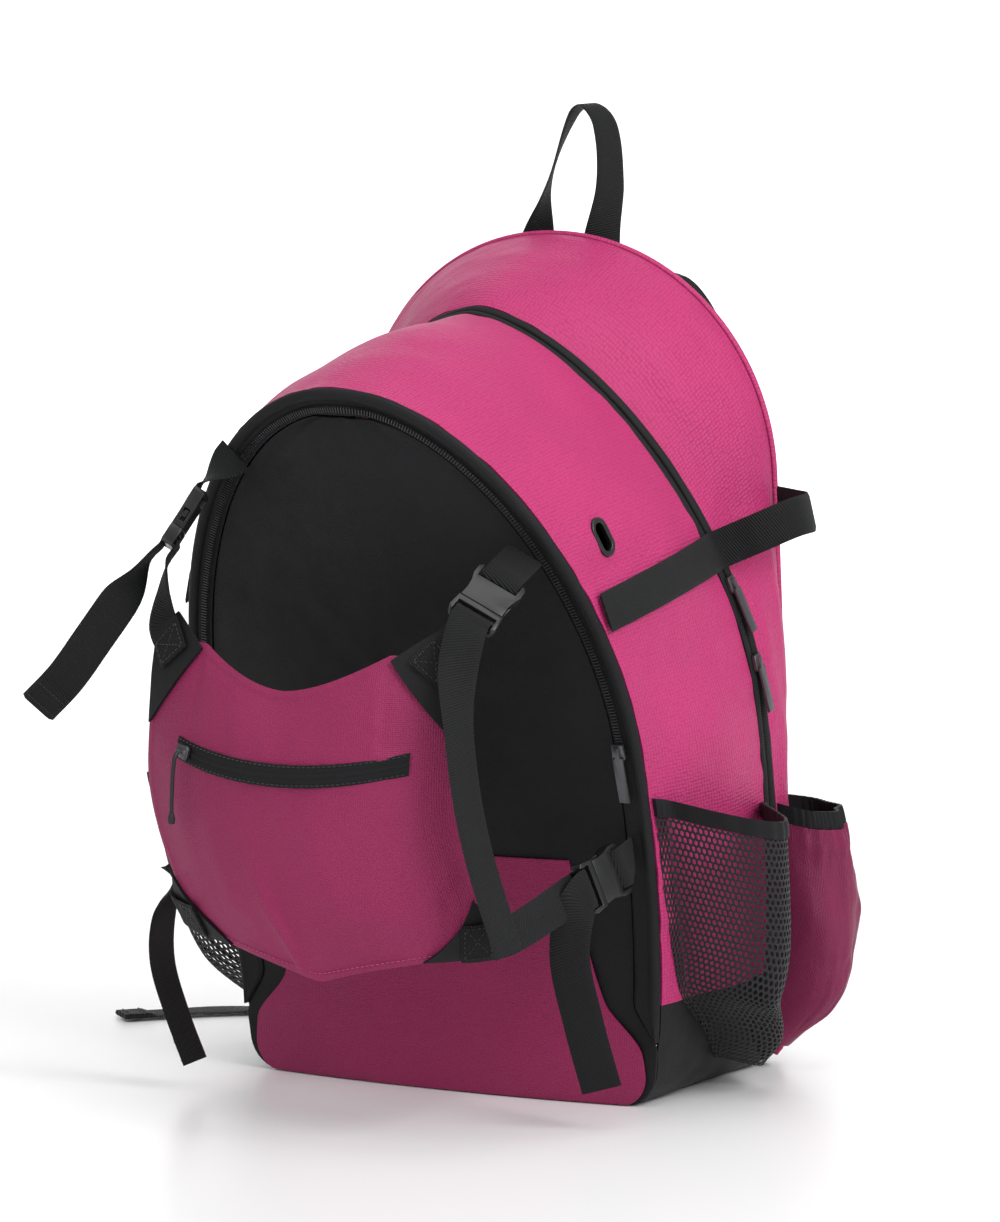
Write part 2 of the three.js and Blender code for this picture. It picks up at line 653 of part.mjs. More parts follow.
function flapRaw(s, t) {
  const middle = FLAP_WIDTH / 2 * lookUp(FLAP, 'aside', t);
  const half = FLAP_WIDTH / 2 * lookUp(FLAP, 'half', t);
  const reach = FLAP_REACH * (lookUp(FLAP, 'reach', t) - lookUp(FLAP, 'recede', t) * Math.abs(s) ** 2.3);
  return vec(middle + half * s, FLAP_ROOT - reach, FLAP_FLOOR + FLAP_HEIGHT * lookUp(FLAP, 'height', t));
}

function flapNormal(s, t) {
  const step = 0.02;
  const across = flapRaw(s + step, t).sub(flapRaw(s - step, t));
  const up = flapRaw(s, t + step).sub(flapRaw(s, t - step));
  return across.cross(up).normalize();
}

const flapPoint = (s, t, lift = 0) => flapRaw(s, t).addScaledVector(flapNormal(s, t), lift);

const flapTop = (s) => 1 - FLAP_DIP / FLAP_HEIGHT * (1 - Math.min(Math.abs(s) / 0.6, 1) ** 1.7);
const flapFoot = (s) => 0.125 * Math.hypot(s, 0.11) - 0.05;
const flapFace = (lift) => (a, b) => {
  const s = 2 * b - 1;
  return flapPoint(s, mix(flapFoot(s) * (1 - a), flapTop(s), a), lift);
};
add('helmet_flap', 'pink', wall(10, 12, flapFace(CLOTH), flapFace(0)));

// Black corner patches carry the straps. from holds the ends of the patch's seam on the flap and to
// those of its narrow edge, which meets the webbing, both as s and t.
const PATCHES = [
  { name: 'flap_corner', from: [[0.61, 0.98], [0.98, 0.735]], to: [[0.84, 1.09], [1.01, 1]] },
  { name: 'flap_foot_corner', from: [[0.99, 0.28], [0.87, 0.07]], to: [[1.12, 0.205], [1.14, 0.085]] },
];
const mixPairs = (p, q, k) => [mix(p[0], q[0], k), mix(p[1], q[1], k)];
for (const { name: part, from, to } of PATCHES) {
  for (const { name: side, sign } of SIDES) {
    const patch = (lift) => (a, b) => {
      const [s, t] = mixPairs(mixPairs(from[0], from[1], b), mixPairs(to[0], to[1], b), a);
      return flapPoint(sign * s, t, CLOTH + 3 * GAP + lift);
    };
    add(`${part}_${side}`, 'black', wall(3, 3, patch(CLOTH), patch(0)));
  }
}

// Where the straps are sewn on the flap: s and t of the middle of each, and how far they lie over it
const UPPER_SEAM = { points: [[0.8, 0.94], [0.845, 0.975], [0.89, 1.01], [0.935, 1.045]], lift: 3 * CLOTH };
const LOWER_SEAM = {
  points: [[0.98, 0.145], [1.04, 0.146], [1.09, 0.15], [1.14, 0.156], [1.19, 0.168]], lift: 3 * CLOTH,
};

// The flap's zip: a smiling band low on the flap, with a slider at its left end
const FLAP_ZIP_PLACE = { s: 0.03, t: 0.62, smile: 0.055 };
const flapZipAt = (k, across, lift) => {
  const s = FLAP_ZIP_PLACE.s + k * FLAP_ZIP_LENGTH / FLAP_WIDTH;
  const t = FLAP_ZIP_PLACE.t + FLAP_ZIP_PLACE.smile * k * k + across / FLAP_HEIGHT;
  return flapPoint(s, t, CLOTH + 2 * GAP + lift);
};
const FLAP_ZIP_RISE = [0.5, 0.6, 1, 0.6, 0.5];
const flapZip = (lifted) => (a, b) => {
  const rise = lifted ? FLAP_ZIP_THICK * FLAP_ZIP_RISE[Math.round(b * 4)] : 0;
  return flapZipAt(2 * a - 1, (b - 0.5) * FLAP_ZIP_WIDTH, rise);
};
add('flap_zip', 'black', wall(12, 4, flapZip(true), flapZip(false)));

// A slider: a domed body with a bridge, and a tab that hangs from it
function slider(width, length, height) {
  const shape = new THREE.Shape();
  shape.moveTo(-width / 2, -length * 0.35);
  shape.lineTo(-width * 0.3, -length / 2);
  shape.lineTo(width * 0.3, -length / 2);
  shape.lineTo(width / 2, -length * 0.35);
  shape.lineTo(width * 0.42, length / 2);
  shape.lineTo(-width * 0.42, length / 2);
  shape.closePath();
  const plate = new THREE.ExtrudeGeometry(shape, { depth: height * 0.55, bevelEnabled: false });
  const bridge = block(width * 0.36, length * 0.72, height * 0.5, 0, 0, height * 0.75);
  return join(plate, bridge);
}

function frameAt(origin, way, normal) {
  const across = way.clone().cross(normal).normalize();
  const up = across.clone().cross(way).normalize();
  return new THREE.Matrix4().makeBasis(across, way.clone().normalize(), up).setPosition(origin);
}

const SLIDER_PLACE = -0.9;
const sliderAt = flapZipAt(SLIDER_PLACE, 0, FLAP_ZIP_THICK + GAP);
const sliderWay = flapZipAt(SLIDER_PLACE - 0.05, 0, 0).sub(flapZipAt(SLIDER_PLACE + 0.05, 0, 0)).normalize();
const sliderNormal = flapZipAt(SLIDER_PLACE, 0, 1).sub(flapZipAt(SLIDER_PLACE, 0, 0)).normalize();
const sliderBody = () => slider(SLIDER_WIDTH, SLIDER_LENGTH, SLIDER_HEIGHT);
add('flap_zip_slider', 'metal', sliderBody(), frameAt(sliderAt, sliderWay, sliderNormal));

// The slider's pull cord hangs in front of the flap; its points are chosen by hand
const CORD_POINTS = [
  [0, 0, 0], [-0.4, -2.6, -3], [-0.8, -3.6, -8], [-1.2, -4.0, -14], [-1.5, -4.2, -20],
  [-1.8, -4.2, -26], [-2.1, -4.1, -32], [-2.3, -3.9, -37],
];
const cordLift = SLIDER_HEIGHT * 0.65 + GAP + PULL_CORD_DIAMETER / 2;
const cordStart = sliderAt.clone().addScaledVector(sliderNormal, cordLift)
  .add(vec(0, -PULL_CORD_DIAMETER / 2 - GAP, 0));
const cordPath = new THREE.CatmullRomCurve3(CORD_POINTS.map((point) => cordStart.clone().add(vec(...point))));
add('flap_zip_cord', 'black', new THREE.ExtrudeGeometry(roundSection(PULL_CORD_DIAMETER / 2, 8), {
  steps: 8, bevelEnabled: false, extrudePath: cordPath,
}));
const knobTop = cordPath.getPoint(1);
add('flap_zip_cord_end', 'black', new THREE.LatheGeometry([
  new THREE.Vector2(0, -PULL_KNOB_LENGTH),
  new THREE.Vector2(PULL_KNOB_DIAMETER * 0.42, -PULL_KNOB_LENGTH),
  new THREE.Vector2(PULL_KNOB_DIAMETER / 2, -PULL_KNOB_LENGTH * 0.5),
  new THREE.Vector2(PULL_KNOB_DIAMETER * 0.3, 0),
  new THREE.Vector2(0, 0),
], 8).rotateX(TURN).translate(knobTop.x, knobTop.y, knobTop.z - GAP));

// A side-release buckle in its own frame: the plug enters the socket's mouth at y = 0
function socket() {
  const half = BUCKLE_WIDTH / 2;
  const shape = new THREE.Shape();
  shape.moveTo(-half + 2, 0);
  shape.lineTo(half - 2, 0);
  shape.quadraticCurveTo(half - 3.5, SOCKET_LENGTH * 0.4, half, SOCKET_LENGTH * 0.68);
  shape.lineTo(half, SOCKET_LENGTH - 2);
  shape.lineTo(half - 2, SOCKET_LENGTH);
  shape.lineTo(-half + 2, SOCKET_LENGTH);
  shape.lineTo(-half, SOCKET_LENGTH - 2);
  shape.lineTo(-half, SOCKET_LENGTH * 0.68);
  shape.quadraticCurveTo(-half + 3.5, SOCKET_LENGTH * 0.4, -half + 2, 0);
  const body = extrude(shape, BUCKLE_THICK, 3);
  const mouthDepth = SOCKET_LENGTH - 2 * BAR_DEPTH - SLOT_DEPTH;
  const mouthHeight = BUCKLE_THICK - 2 * BUCKLE_WALL;
  const mouth = block(BUCKLE_WIDTH - 4 * BUCKLE_WALL, 2 * mouthDepth, mouthHeight);
  const window = block(BUCKLE_WIDTH + 2, mouthDepth * 0.55, mouthHeight, 0, mouthDepth * 0.52, 0);
  const slotY = SOCKET_LENGTH - BAR_DEPTH - SLOT_DEPTH / 2;
  return cut(body, mouth, window, block(WEBBING_WIDTH + 2, SLOT_DEPTH, BUCKLE_THICK + 2, 0, slotY, 0),
    block(WEBBING_WIDTH + 2, 2 * BAR_DEPTH + 1, BUCKLE_THICK, 0, SOCKET_LENGTH, BUCKLE_THICK * 0.72));
}

function plug() {
  const half = BUCKLE_WIDTH / 2;
  const shape = new THREE.Shape();
  shape.moveTo(-half + 1, -GAP);
  shape.lineTo(half - 1, -GAP);
  shape.lineTo(half, -PLUG_LENGTH + 2);
  shape.lineTo(half - 2, -PLUG_LENGTH);
  shape.lineTo(-half + 2, -PLUG_LENGTH);
  shape.lineTo(-half, -PLUG_LENGTH + 2);
  shape.closePath();
  const slotY = -PLUG_LENGTH + BAR_DEPTH + SLOT_DEPTH / 2;
  const slot = block(WEBBING_WIDTH + 2, SLOT_DEPTH, BUCKLE_THICK + 2, 0, slotY, 0);
  const rest = block(WEBBING_WIDTH + 2, 2 * BAR_DEPTH + 1, BUCKLE_THICK, 0, -PLUG_LENGTH,
    BUCKLE_THICK * 0.72);
  const frame = cut(extrude(shape, BUCKLE_THICK), slot, rest);
  const reach = SOCKET_LENGTH - 2 * BAR_DEPTH - SLOT_DEPTH - 3;
  const prongs = [
    block(4, reach + 2, PRONG_THICK, 0, reach / 2 - 1, 0),
    block(3, reach + 2, PRONG_THICK, half - 8, reach / 2 - 1, 0),
    block(3, reach + 2, PRONG_THICK, -half + 8, reach / 2 - 1, 0),
    block(5, reach * 0.4, PRONG_THICK, half - 5.4, reach * 0.72, 0),
    block(5, reach * 0.4, PRONG_THICK, -half + 5.4, reach * 0.72, 0),
  ];
  return join(frame, ...prongs);
}

// Levels of webbing above and below the middle of a buckle's bar
const barLevel = BUCKLE_THICK / 2;
const wrap = barLevel + GAP + WEBBING / 2;
const barTop = wrap - BUCKLE_THICK * 0.2;

// Points of webbing that comes under a bar, up through the slot and back over the bar
function roundBar(matrix, barY, slotY, outward) {
  const local = [
    [barY + outward * BAR_DEPTH * 3, -wrap], [barY + outward * BAR_DEPTH * 0.85, -wrap],
    [slotY + outward * SLOT_DEPTH * 0.28, -wrap], [slotY, -wrap * 0.55], [slotY, wrap * 0.25],
    [slotY + outward * SLOT_DEPTH * 0.36, barTop], [barY + outward * BAR_DEPTH, barTop],
  ];
  return local.map(([y, z]) => vec(0, y, z).applyMatrix4(matrix));
}

// Straps of the flap. sewn holds the webbing's place on the flap, and share is where the buckle lies on
// the way to the anchor on the face. anchorHeight is a share of HEIGHT, anchorInset of FRONT_ZIP_WIDTH
// and bow, by which the buckle stands aside of that way, of STRAP_BOW. outside is the way the buckle
// faces and hang the way the tail's width points. tail holds steps from the plug's bar, as shares of
// STRAP_TAIL.
const FLAP_STRAPS = [
  {
    name: 'upper_right', sign: 1, sewn: UPPER_SEAM, anchorHeight: 0.683, anchorInset: 1.12, share: 0.17,
    outside: [0.35, -0.75, 0.3], bow: [0, 0, 0], hang: [0.25, 0.97, 0],
    tail: [[0.005, -0.04, -0.045], [0.005, -0.085, -0.175], [0.055, -0.13, -0.465], [0.105, -0.13, -0.69],
      [0.185, -0.085, -0.995]],
  },
  {
    name: 'upper_left', sign: -1, sewn: UPPER_SEAM, anchorHeight: 0.78, anchorInset: 0.47, share: 0.42,
    outside: [-0.85, -0.4, 0.2], bow: [-1, -0.75, 0], hang: [-0.6, -0.35, 0.6],
    tail: [[-0.03, -0.03, -0.04], [-0.11, -0.05, -0.16], [-0.22, -0.05, -0.3], [-0.33, -0.04, -0.43],
      [-0.44, -0.03, -0.53]],
  },
  {
    name: 'lower_right', sign: 1, sewn: LOWER_SEAM, anchorHeight: 0.307, anchorInset: 0.7, share: 0.55,
    outside: [0.75, -0.6, 0.1], bow: [0, 0, 0], hang: [0.9, 0.4, 0],
    tail: [[-0.01, -0.035, -0.035], [-0.03, -0.05, -0.19], [0, -0.01, -0.42], [0.04, 0.03, -0.62]],
  },
  {
    name: 'lower_left', sign: -1, sewn: LOWER_SEAM, anchorHeight: 0.307, anchorInset: 0.7, share: 0.52,
    outside: [-0.75, -0.6, 0.1], bow: [0, 0, 0], hang: [0.1, 0.99, 0],
    tail: [[-0.005, -0.055, -0.02], [-0.075, -0.04, -0.16], [-0.115, 0.01, -0.33], [-0.08, 0.04, -0.5],
      [-0.02, 0.05, -0.65]],
  },
];

const plugBar = -PLUG_LENGTH + BAR_DEPTH / 2;
const plugSlot = -PLUG_LENGTH + BAR_DEPTH + SLOT_DEPTH / 2;
const socketBar = SOCKET_LENGTH - BAR_DEPTH / 2;
const socketSlot = SOCKET_LENGTH - BAR_DEPTH - SLOT_DEPTH / 2;

for (const strap of FLAP_STRAPS) {
  const { name, sign } = strap;
  const anchorU = frontArch.shareAt(strap.anchorHeight * HEIGHT);
  const edge = faceEdge(anchorU, strap.anchorInset * FRONT_ZIP_WIDTH, ZIP_RISE * 2 + WEBBING + GAP);
  const anchor = vec(sign * edge.x, edge.y, edge.z);
  const seamPoint = ([at, t]) => flapPoint(sign * at, t, strap.sewn.lift + WEBBING / 2);
  const seam = strap.sewn.points.map(seamPoint);
  const root = seam[seam.length - 1];
  const straight = anchor.clone().sub(root).normalize();
  const middle = mixPoints(root, anchor, strap.share).addScaledVector(straight, PLUG_LENGTH)
    .addScaledVector(vec(...strap.bow), STRAP_BOW);
  const way = anchor.clone().sub(middle).normalize();
  const level = frameAt(middle, way, vec(...strap.outside));
  const matrix = level.clone().setPosition(vec(0, 0, wrap).applyMatrix4(level));
  add(`${name}_buckle_socket`, 'plastic', socket(), matrix);
  add(`${name}_buckle_plug`, 'plastic', plug(), matrix);
  const across = vec(1, 0, 0).transformDirection(matrix);

  // The sewn strap from the flap round the plug's bar, and its free tail
  const around = roundBar(matrix, plugBar, plugSlot, -1);
  const bend = around[around.length - 1];
  const tailPoints = strap.tail.map((step) => bend.clone().addScaledVector(vec(...step), STRAP_TAIL));
  const tail = through([bend, ...tailPoints], 13);
  const points = [...seam, ...around, ...tail.slice(1)];
  const acrosses = points.map((p, i) => {
    if (i < seam.length) {
      const next = i + 1 < seam.length ? seam[i + 1].clone().sub(p) : p.clone().sub(seam[i - 1]);
      return next.cross(flapNormal(sign * strap.sewn.points[i][0], strap.sewn.points[i][1])).normalize();
    }
    const hung = smooth(clamp((i - seam.length - around.length) / 5, 0, 1));
    return across.clone().lerp(vec(...strap.hang), hung).normalize();
  });
  add(`${name}_strap`, 'webbing', ribbon(points, acrosses, WEBBING_WIDTH, WEBBING, FOLDED_END));

  // The short anchor strap from the bag to the socket's bar
  const anchorPoints = [
    ...[[socketSlot, -wrap * 0.2], [socketSlot, wrap * 0.3], [socketBar - BAR_DEPTH * 0.17, barTop],
      [socketBar + BAR_DEPTH * 1.2, barTop]].map(([y, z]) => vec(0, y, z).applyMatrix4(matrix)),
    anchor,
  ];
  const flat = faceNormal(anchor.z).cross(way).normalize();
  flat.multiplyScalar(Math.sign(flat.dot(across)));
  const anchorAcross = anchorPoints.map((point) => (point === anchor ? flat : across));
  add(`${name}_anchor`, 'webbing', ribbon(anchorPoints, anchorAcross, WEBBING_WIDTH, WEBBING));
}

// The grab handle: a twisted loop of webbing; x of HANDLE_SPAN, z of HANDLE_HEIGHT, twist in turns
const HANDLE = [
  { t: 0, x: -0.5, z: -0.16, twist: 0.02 }, { t: 0.12, x: -0.46, z: 0.1, twist: 0.18 },
  { t: 0.3, x: -0.26, z: 0.5, twist: 0.32 }, { t: 0.45, x: 0.1, z: 0.93, twist: 0.28 },
  { t: 0.52, x: 0.34, z: 1, twist: 0.24 }, { t: 0.62, x: 0.6, z: 0.86, twist: 0.22 },
  { t: 0.8, x: 0.68, z: 0.45, twist: 0.2 }, { t: 0.92, x: 0.56, z: 0.1, twist: 0.14 },
  { t: 1, x: 0.5, z: -0.16, twist: 0.02 },
];
const handleY = backArch.crownY + 2 * PIPING_RADIUS + PADDING + 3.4 * GAP + WEBBING;
const handlePoints = [];
const handleAcross = [];
for (let i = 0; i <= HANDLE_STEPS; i += 1) {
  const t = i / HANDLE_STEPS;
  const turn = lookUp(HANDLE, 'twist', t) * 2 * Math.PI;
  const z = HEIGHT - PADDING + HANDLE_HEIGHT * lookUp(HANDLE, 'z', t);
  handlePoints.push(vec(HANDLE_SPAN * lookUp(HANDLE, 'x', t), handleY, z));
  handleAcross.push(vec(Math.cos(turn), Math.sin(turn), 0));
}
add('grab_handle', 'webbing', ribbon(handlePoints, handleAcross, WEBBING_WIDTH, WEBBING));

// Shoulder straps: padded, from the top of the back down to webbing at the lower corners
const SHOULDER = [
  { t: 0, x: 0.56, bow: 0.085, z: 0.9, width: 0.8 }, { t: 0.12, x: 0.74, bow: 0.5, z: 0.94, width: 0.92 },
  { t: 0.3, x: 0.94, bow: 0.98, z: 0.84, width: 1 }, { t: 0.6, x: 1.12, bow: 1, z: 0.58, width: 0.96 },
  { t: 0.85, x: 1.36, bow: 0.78, z: 0.34, width: 0.76 }, { t: 1, x: 1.5, bow: 0.6, z: 0.24, width: 0.5 },
];
const backY = (z) => backArch.depthAt(z) + GAP + PADDING * 1.5 + SHOULDER_THICK / 2 + 1;
const shoulderAt = (t) => {
  const z = HEIGHT * lookUp(SHOULDER, 'z', t);
  const bow = SHOULDER_BOW * (lookUp(SHOULDER, 'bow', t) - 0.1);
  return vec(SHOULDER_SPREAD * lookUp(SHOULDER, 'x', t), backY(z) + bow, z);
};
for (const { name: side, sign } of SIDES) {
  const padFace = (outer) => (a, b) => {
    const p = shoulderAt(a);
    const way = shoulderAt(Math.min(a + 0.02, 1)).sub(shoulderAt(Math.max(a - 0.02, 0))).normalize();
    const across = vec(1, 0, 0).addScaledVector(way, -way.x).normalize();
    const normal = across.clone().cross(way).normalize();
    const s = 2 * b - 1;
    const body = (1 - s ** 4) * smooth(clamp(Math.min(a, 1 - a) * 10 + 0.3, 0, 1));
    const thick = SHOULDER_THICK / 2 * mix(0.3, 1, body);
    p.addScaledVector(across, s * SHOULDER_WIDTH / 2 * lookUp(SHOULDER, 'width', a));
    p.addScaledVector(normal, outer ? thick : -thick);
    return vec(sign * p.x, p.y, p.z);
  };
  add(`shoulder_strap_${side}`, 'black', wall(13, 4, padFace(true), padFace(false)));
}

// Lower webbing of the shoulder straps, its adjusters and tails. The left tail runs to the floor:
// x and y of its points are shares of TAIL_REACH from the bag's rear corner, z of WEBBING.
const strapEnd = shoulderAt(1);
const cornerAt = vec(
  FOOT_WIDTH / 2 - WEBBING_WIDTH * 0.88,
  FOOT_DEPTH / 2 + PIPING_RADIUS * 2 + 2 * GAP + WEBBING,
  WEBBING_WIDTH * 1.2,
);
const adjusterAt = mixPoints(strapEnd, cornerAt, 0.3);
const FLOOR_TAIL = [
  [-0.1, 0.27, 15.3], [-0.4, 0.118, 3.5], [-0.6, -0.035, 1.65], [-0.8, -0.21, 1.53], [-1, -0.447, 1.53],
];
for (const { name: side, sign } of SIDES) {
  const flip = (p) => vec(sign * p.x, p.y, p.z);
  const way = flip(cornerAt).sub(flip(strapEnd)).normalize();
  const outside = vec(0, 1, 0.2);
  const matrix = frameAt(flip(adjusterAt), way, outside);
  const slotY = ADJUSTER_LENGTH * 0.245;
  const slots = [-slotY, slotY].map((y) => (
    block(WEBBING_WIDTH + 2, ADJUSTER_SLOT, 2 * ADJUSTER_THICK, 0, y, 0)
  ));
  const frame = cut(block(BUCKLE_WIDTH, ADJUSTER_LENGTH, ADJUSTER_THICK), ...slots);
  add(`strap_adjuster_${side}`, 'plastic', frame, matrix);
  const across = vec(1, 0, 0).transformDirection(matrix);
  const tab = [flip(strapEnd).addScaledVector(way, WEBBING * 1.8), vec(0, -ADJUSTER_LENGTH / 2 - 2 * GAP, 0)
    .applyMatrix4(matrix)];
  add(`strap_tab_${side}`, 'webbing', ribbon(tab, [across, across], WEBBING_WIDTH, WEBBING));
  const level = ADJUSTER_THICK / 2 + GAP + WEBBING / 2;
  const local = (share, z) => vec(0, share * ADJUSTER_LENGTH, z).applyMatrix4(matrix);
  const low = [flip(cornerAt), local(0.89, -level), local(0.37, -level), local(0.256, -level * 0.5),
    local(0.256, level * 0.7), local(0.11, level), local(-0.09, level)];
  const out = vec(-FOOT_WIDTH / 2, FOOT_DEPTH / 2, 0);
  const onFloor = FLOOR_TAIL.map(([x, y, z]) => (
    out.clone().add(vec(x * TAIL_REACH, y * TAIL_REACH, z * WEBBING))
  ));
  const tailEnd = sign > 0
    ? [local(-0.17, level * 1.7), local(0.44, level * 2.6), local(1.9, level * 2.3), local(3.9, level * 1.7)]
    : [local(-0.17, level * 1.7), local(0.56, level * 3), local(2.2, level * 4.2), ...onFloor];
  const tail = through([low[low.length - 1], ...tailEnd], sign > 0 ? 8 : 20);
  const points = [...low, ...tail.slice(1)];
  const flat = vec(0.5, 0.86, 0);
  const acrosses = points.map((_, i) => {
    const turned = sign > 0 ? 0 : smooth(clamp((i - 8) / 6, 0, 1));
    return across.clone().lerp(flat, turned).normalize();
  });
  add(`shoulder_webbing_${side}`, 'webbing', ribbon(points, acrosses, WEBBING_WIDTH, WEBBING, FOLDED_END));
}

// Sliders with tabs on the main zip, clear of the bat strap over them, and on the front zip
const strapLift = (BAT_STRAP_RISE - WEBBING_WIDTH - SLIDER_LENGTH) / 2;
const upperSlider = BAT_STRAP_FOOT + strapLift - SLIDER_CLEARANCE;
const ZIP_SLIDERS = [
  { name: 'main_zip_slider_upper', height: upperSlider, main: true },
  { name: 'main_zip_slider_lower', height: upperSlider - SLIDER_SPACING, main: true },
  { name: 'front_zip_slider', height: HEIGHT * 0.433, main: false },
];
for (const row of ZIP_SLIDERS) {
  const u = (row.main ? mainArch : frontArch).shareAt(row.height);
  const at = (k, lift) => (row.main ? skin(k, 1, lift) : faceEdge(k, FRONT_ZIP_WIDTH * 0.75, lift));
  const lift = row.main ? ZIP_RISE + 3 * GAP : ZIP_RISE * 1.7 + 3 * GAP;
  const way = at(u + 0.01, 0).sub(at(u - 0.01, 0)).normalize();
  const normal = at(u, 1).sub(at(u, 0)).normalize();
  const tabY = -TAB_LENGTH / 2 - SLIDER_LENGTH * 0.27;
  const tab = block(TAB_WIDTH, TAB_LENGTH, TAB_THICK, 0, tabY, SLIDER_HEIGHT * 0.8);
  add(row.name, 'metal', join(sliderBody(), tab), frameAt(at(u, lift), way, normal));
}

// The bag stands with the middle of its outline over the origin
bag.updateMatrixWorld(true);
const box = new THREE.Box3();
for (const mesh of bag.children) {
  if (!mesh.name.startsWith('flap_zip_cord')) box.expandByObject(mesh, true);
}
bag.position.set(-(box.min.x + box.max.x) / 2, -(box.min.y + box.max.y) / 2, -box.min.z);

export default bag;
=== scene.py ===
"""Dresses the solids of a bat backpack in ripstop, webbing, net, plastic and metal, and sets its studio."""

import math

import bmesh
import bpy
import numpy as np
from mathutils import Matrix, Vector


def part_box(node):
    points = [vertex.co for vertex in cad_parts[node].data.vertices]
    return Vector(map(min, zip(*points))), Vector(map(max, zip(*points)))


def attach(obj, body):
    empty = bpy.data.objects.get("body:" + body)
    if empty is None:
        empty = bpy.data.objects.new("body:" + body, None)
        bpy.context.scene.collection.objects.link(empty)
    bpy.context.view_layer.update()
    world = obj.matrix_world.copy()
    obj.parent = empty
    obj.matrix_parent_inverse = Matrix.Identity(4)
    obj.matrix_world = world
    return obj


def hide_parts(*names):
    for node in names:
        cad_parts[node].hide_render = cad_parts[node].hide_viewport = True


bl_info = {
    "name": "Bat backpack",
    "version": (1, 0, 0),
    "blender": (4, 5, 0),
    "location": "3D View > Sidebar > Bat backpack",
    "description": "Builds the cloth, webbing, net and fittings of a bat backpack",
    "category": "Object",
}

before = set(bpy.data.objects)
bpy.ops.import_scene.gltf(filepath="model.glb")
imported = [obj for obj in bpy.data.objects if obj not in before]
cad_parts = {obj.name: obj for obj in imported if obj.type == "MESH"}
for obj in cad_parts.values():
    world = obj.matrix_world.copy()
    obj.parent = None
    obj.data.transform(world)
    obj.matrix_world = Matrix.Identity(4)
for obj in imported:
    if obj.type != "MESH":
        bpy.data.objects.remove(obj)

# Sizes of the bag, in metres, as in the part's source
HEIGHT = 0.536
WIDTH = 0.330
FOOT_WIDTH = 0.292
FOOT_DEPTH = 0.183
CROWN_DEPTH = 0.280
BACK_LEAN = 0.046
CORNER_RADIUS = 0.020
BASE_WALL_HEIGHT = 0.066
BELLY = 0.008
DENT_DEPTH = 0.010
FACE_CROWN = 0.009
CLOTH = 0.0016
GAP = 0.0003
PADDING = 0.009
PIPING_RADIUS = 0.0024
FRONT_ZIP_WIDTH = 0.017
MAIN_ZIP_WIDTH = 0.013
ZIP_RISE = 0.0014
SEAM_LIFT = 0.0006
SEAM_STEP = 0.0012
WEBBING_WIDTH = 0.025
WEBBING = 0.0017
FOLDED_END = 0.020
PANEL_HEIGHT = 0.158
EYELET_LENGTH = 0.026
EYELET_WIDTH = 0.016
POCKET_TOP = 0.201
POCKET_FLOOR = 0.022
POCKET_SWELL = 0.060
POCKET_SLOPE = 0.020
SLEEVE_TOP = 0.178
SLEEVE_FLOOR = 0.018
SLEEVE_SWELL = 0.041
HEM_HEIGHT = 0.012
HEM_THICK = 0.0022
BAT_STRAP_FOOT = 0.318
BAT_STRAP_RISE = 0.050
BAT_LOOP = 0.042
FLAP_WIDTH = 0.222
FLAP_HEIGHT = 0.195
FLAP_FLOOR = 0.104
FLAP_REACH = 0.158
FLAP_DIP = 0.024
FLAP_ZIP_LENGTH = 0.162
FLAP_ZIP_WIDTH = 0.014
FLAP_ZIP_THICK = 0.0016
STRAP_TAIL = 0.200
STRAP_BOW = 0.008
PULL_CORD_DIAMETER = 0.0026
BUCKLE_THICK = 0.008
SOCKET_LENGTH = 0.027
PLUG_LENGTH = 0.013
BAR_DEPTH = 0.003
SLOT_DEPTH = 0.0056
SLIDER_HEIGHT = 0.0042
ADJUSTER_LENGTH = 0.018
ADJUSTER_THICK = 0.004
HANDLE_SPAN = 0.046
HANDLE_HEIGHT = 0.092
SHOULDER_WIDTH = 0.062
SHOULDER_THICK = 0.012
SHOULDER_BOW = 0.062
SHOULDER_SPREAD = 0.058
TAIL_REACH = 0.170
TURN = math.pi / 2

SIDES = (("right", 1), ("left", -1))

# The three arches, with shares of the sizes above, as in the part's source
ARCHES = (
    dict(height=0.852, width=0.97, foot=1.0, shoulder=0.437, foot_step=1.0, crown_step=1.0,
         top=1.84, side=2.02, lean=1.74),
    dict(height=0.918, width=1.0, foot=1.0, shoulder=0.469, foot_step=0.192, crown_step=0.379,
         top=1.73, side=1.65, lean=1.49),
    dict(height=1.0, width=0.907, foot=0.98, shoulder=0.723, foot_step=0.0, crown_step=0.0,
         top=2.01, side=2.03, lean=1.27),
)

DENTS = (
    dict(u=0.33, v=1.45, spread_u=0.045, spread_v=0.36, depth=0.8),
    dict(u=0.6, v=1.5, spread_u=0.035, spread_v=0.5, depth=1.0),
    dict(u=0.66, v=0.6, spread_u=0.06, spread_v=0.5, depth=0.7),
    dict(u=0.42, v=0.55, spread_u=0.05, spread_v=0.5, depth=0.35),
    dict(u=0.325, v=0.2, spread_u=0.012, spread_v=0.3, depth=0.45),
    dict(u=0.26, v=0.5, spread_u=0.03, spread_v=0.4, depth=0.5),
    dict(u=0.5, v=1.6, spread_u=0.05, spread_v=0.5, depth=0.3),
    dict(u=0.07, v=0.3, spread_u=0.02, spread_v=0.2, depth=0.5),
)

PANEL_SIDES = (
    dict(t=0, width=0.985), dict(t=0.25, width=0.94), dict(t=0.6, width=0.8), dict(t=1, width=0.72),
)

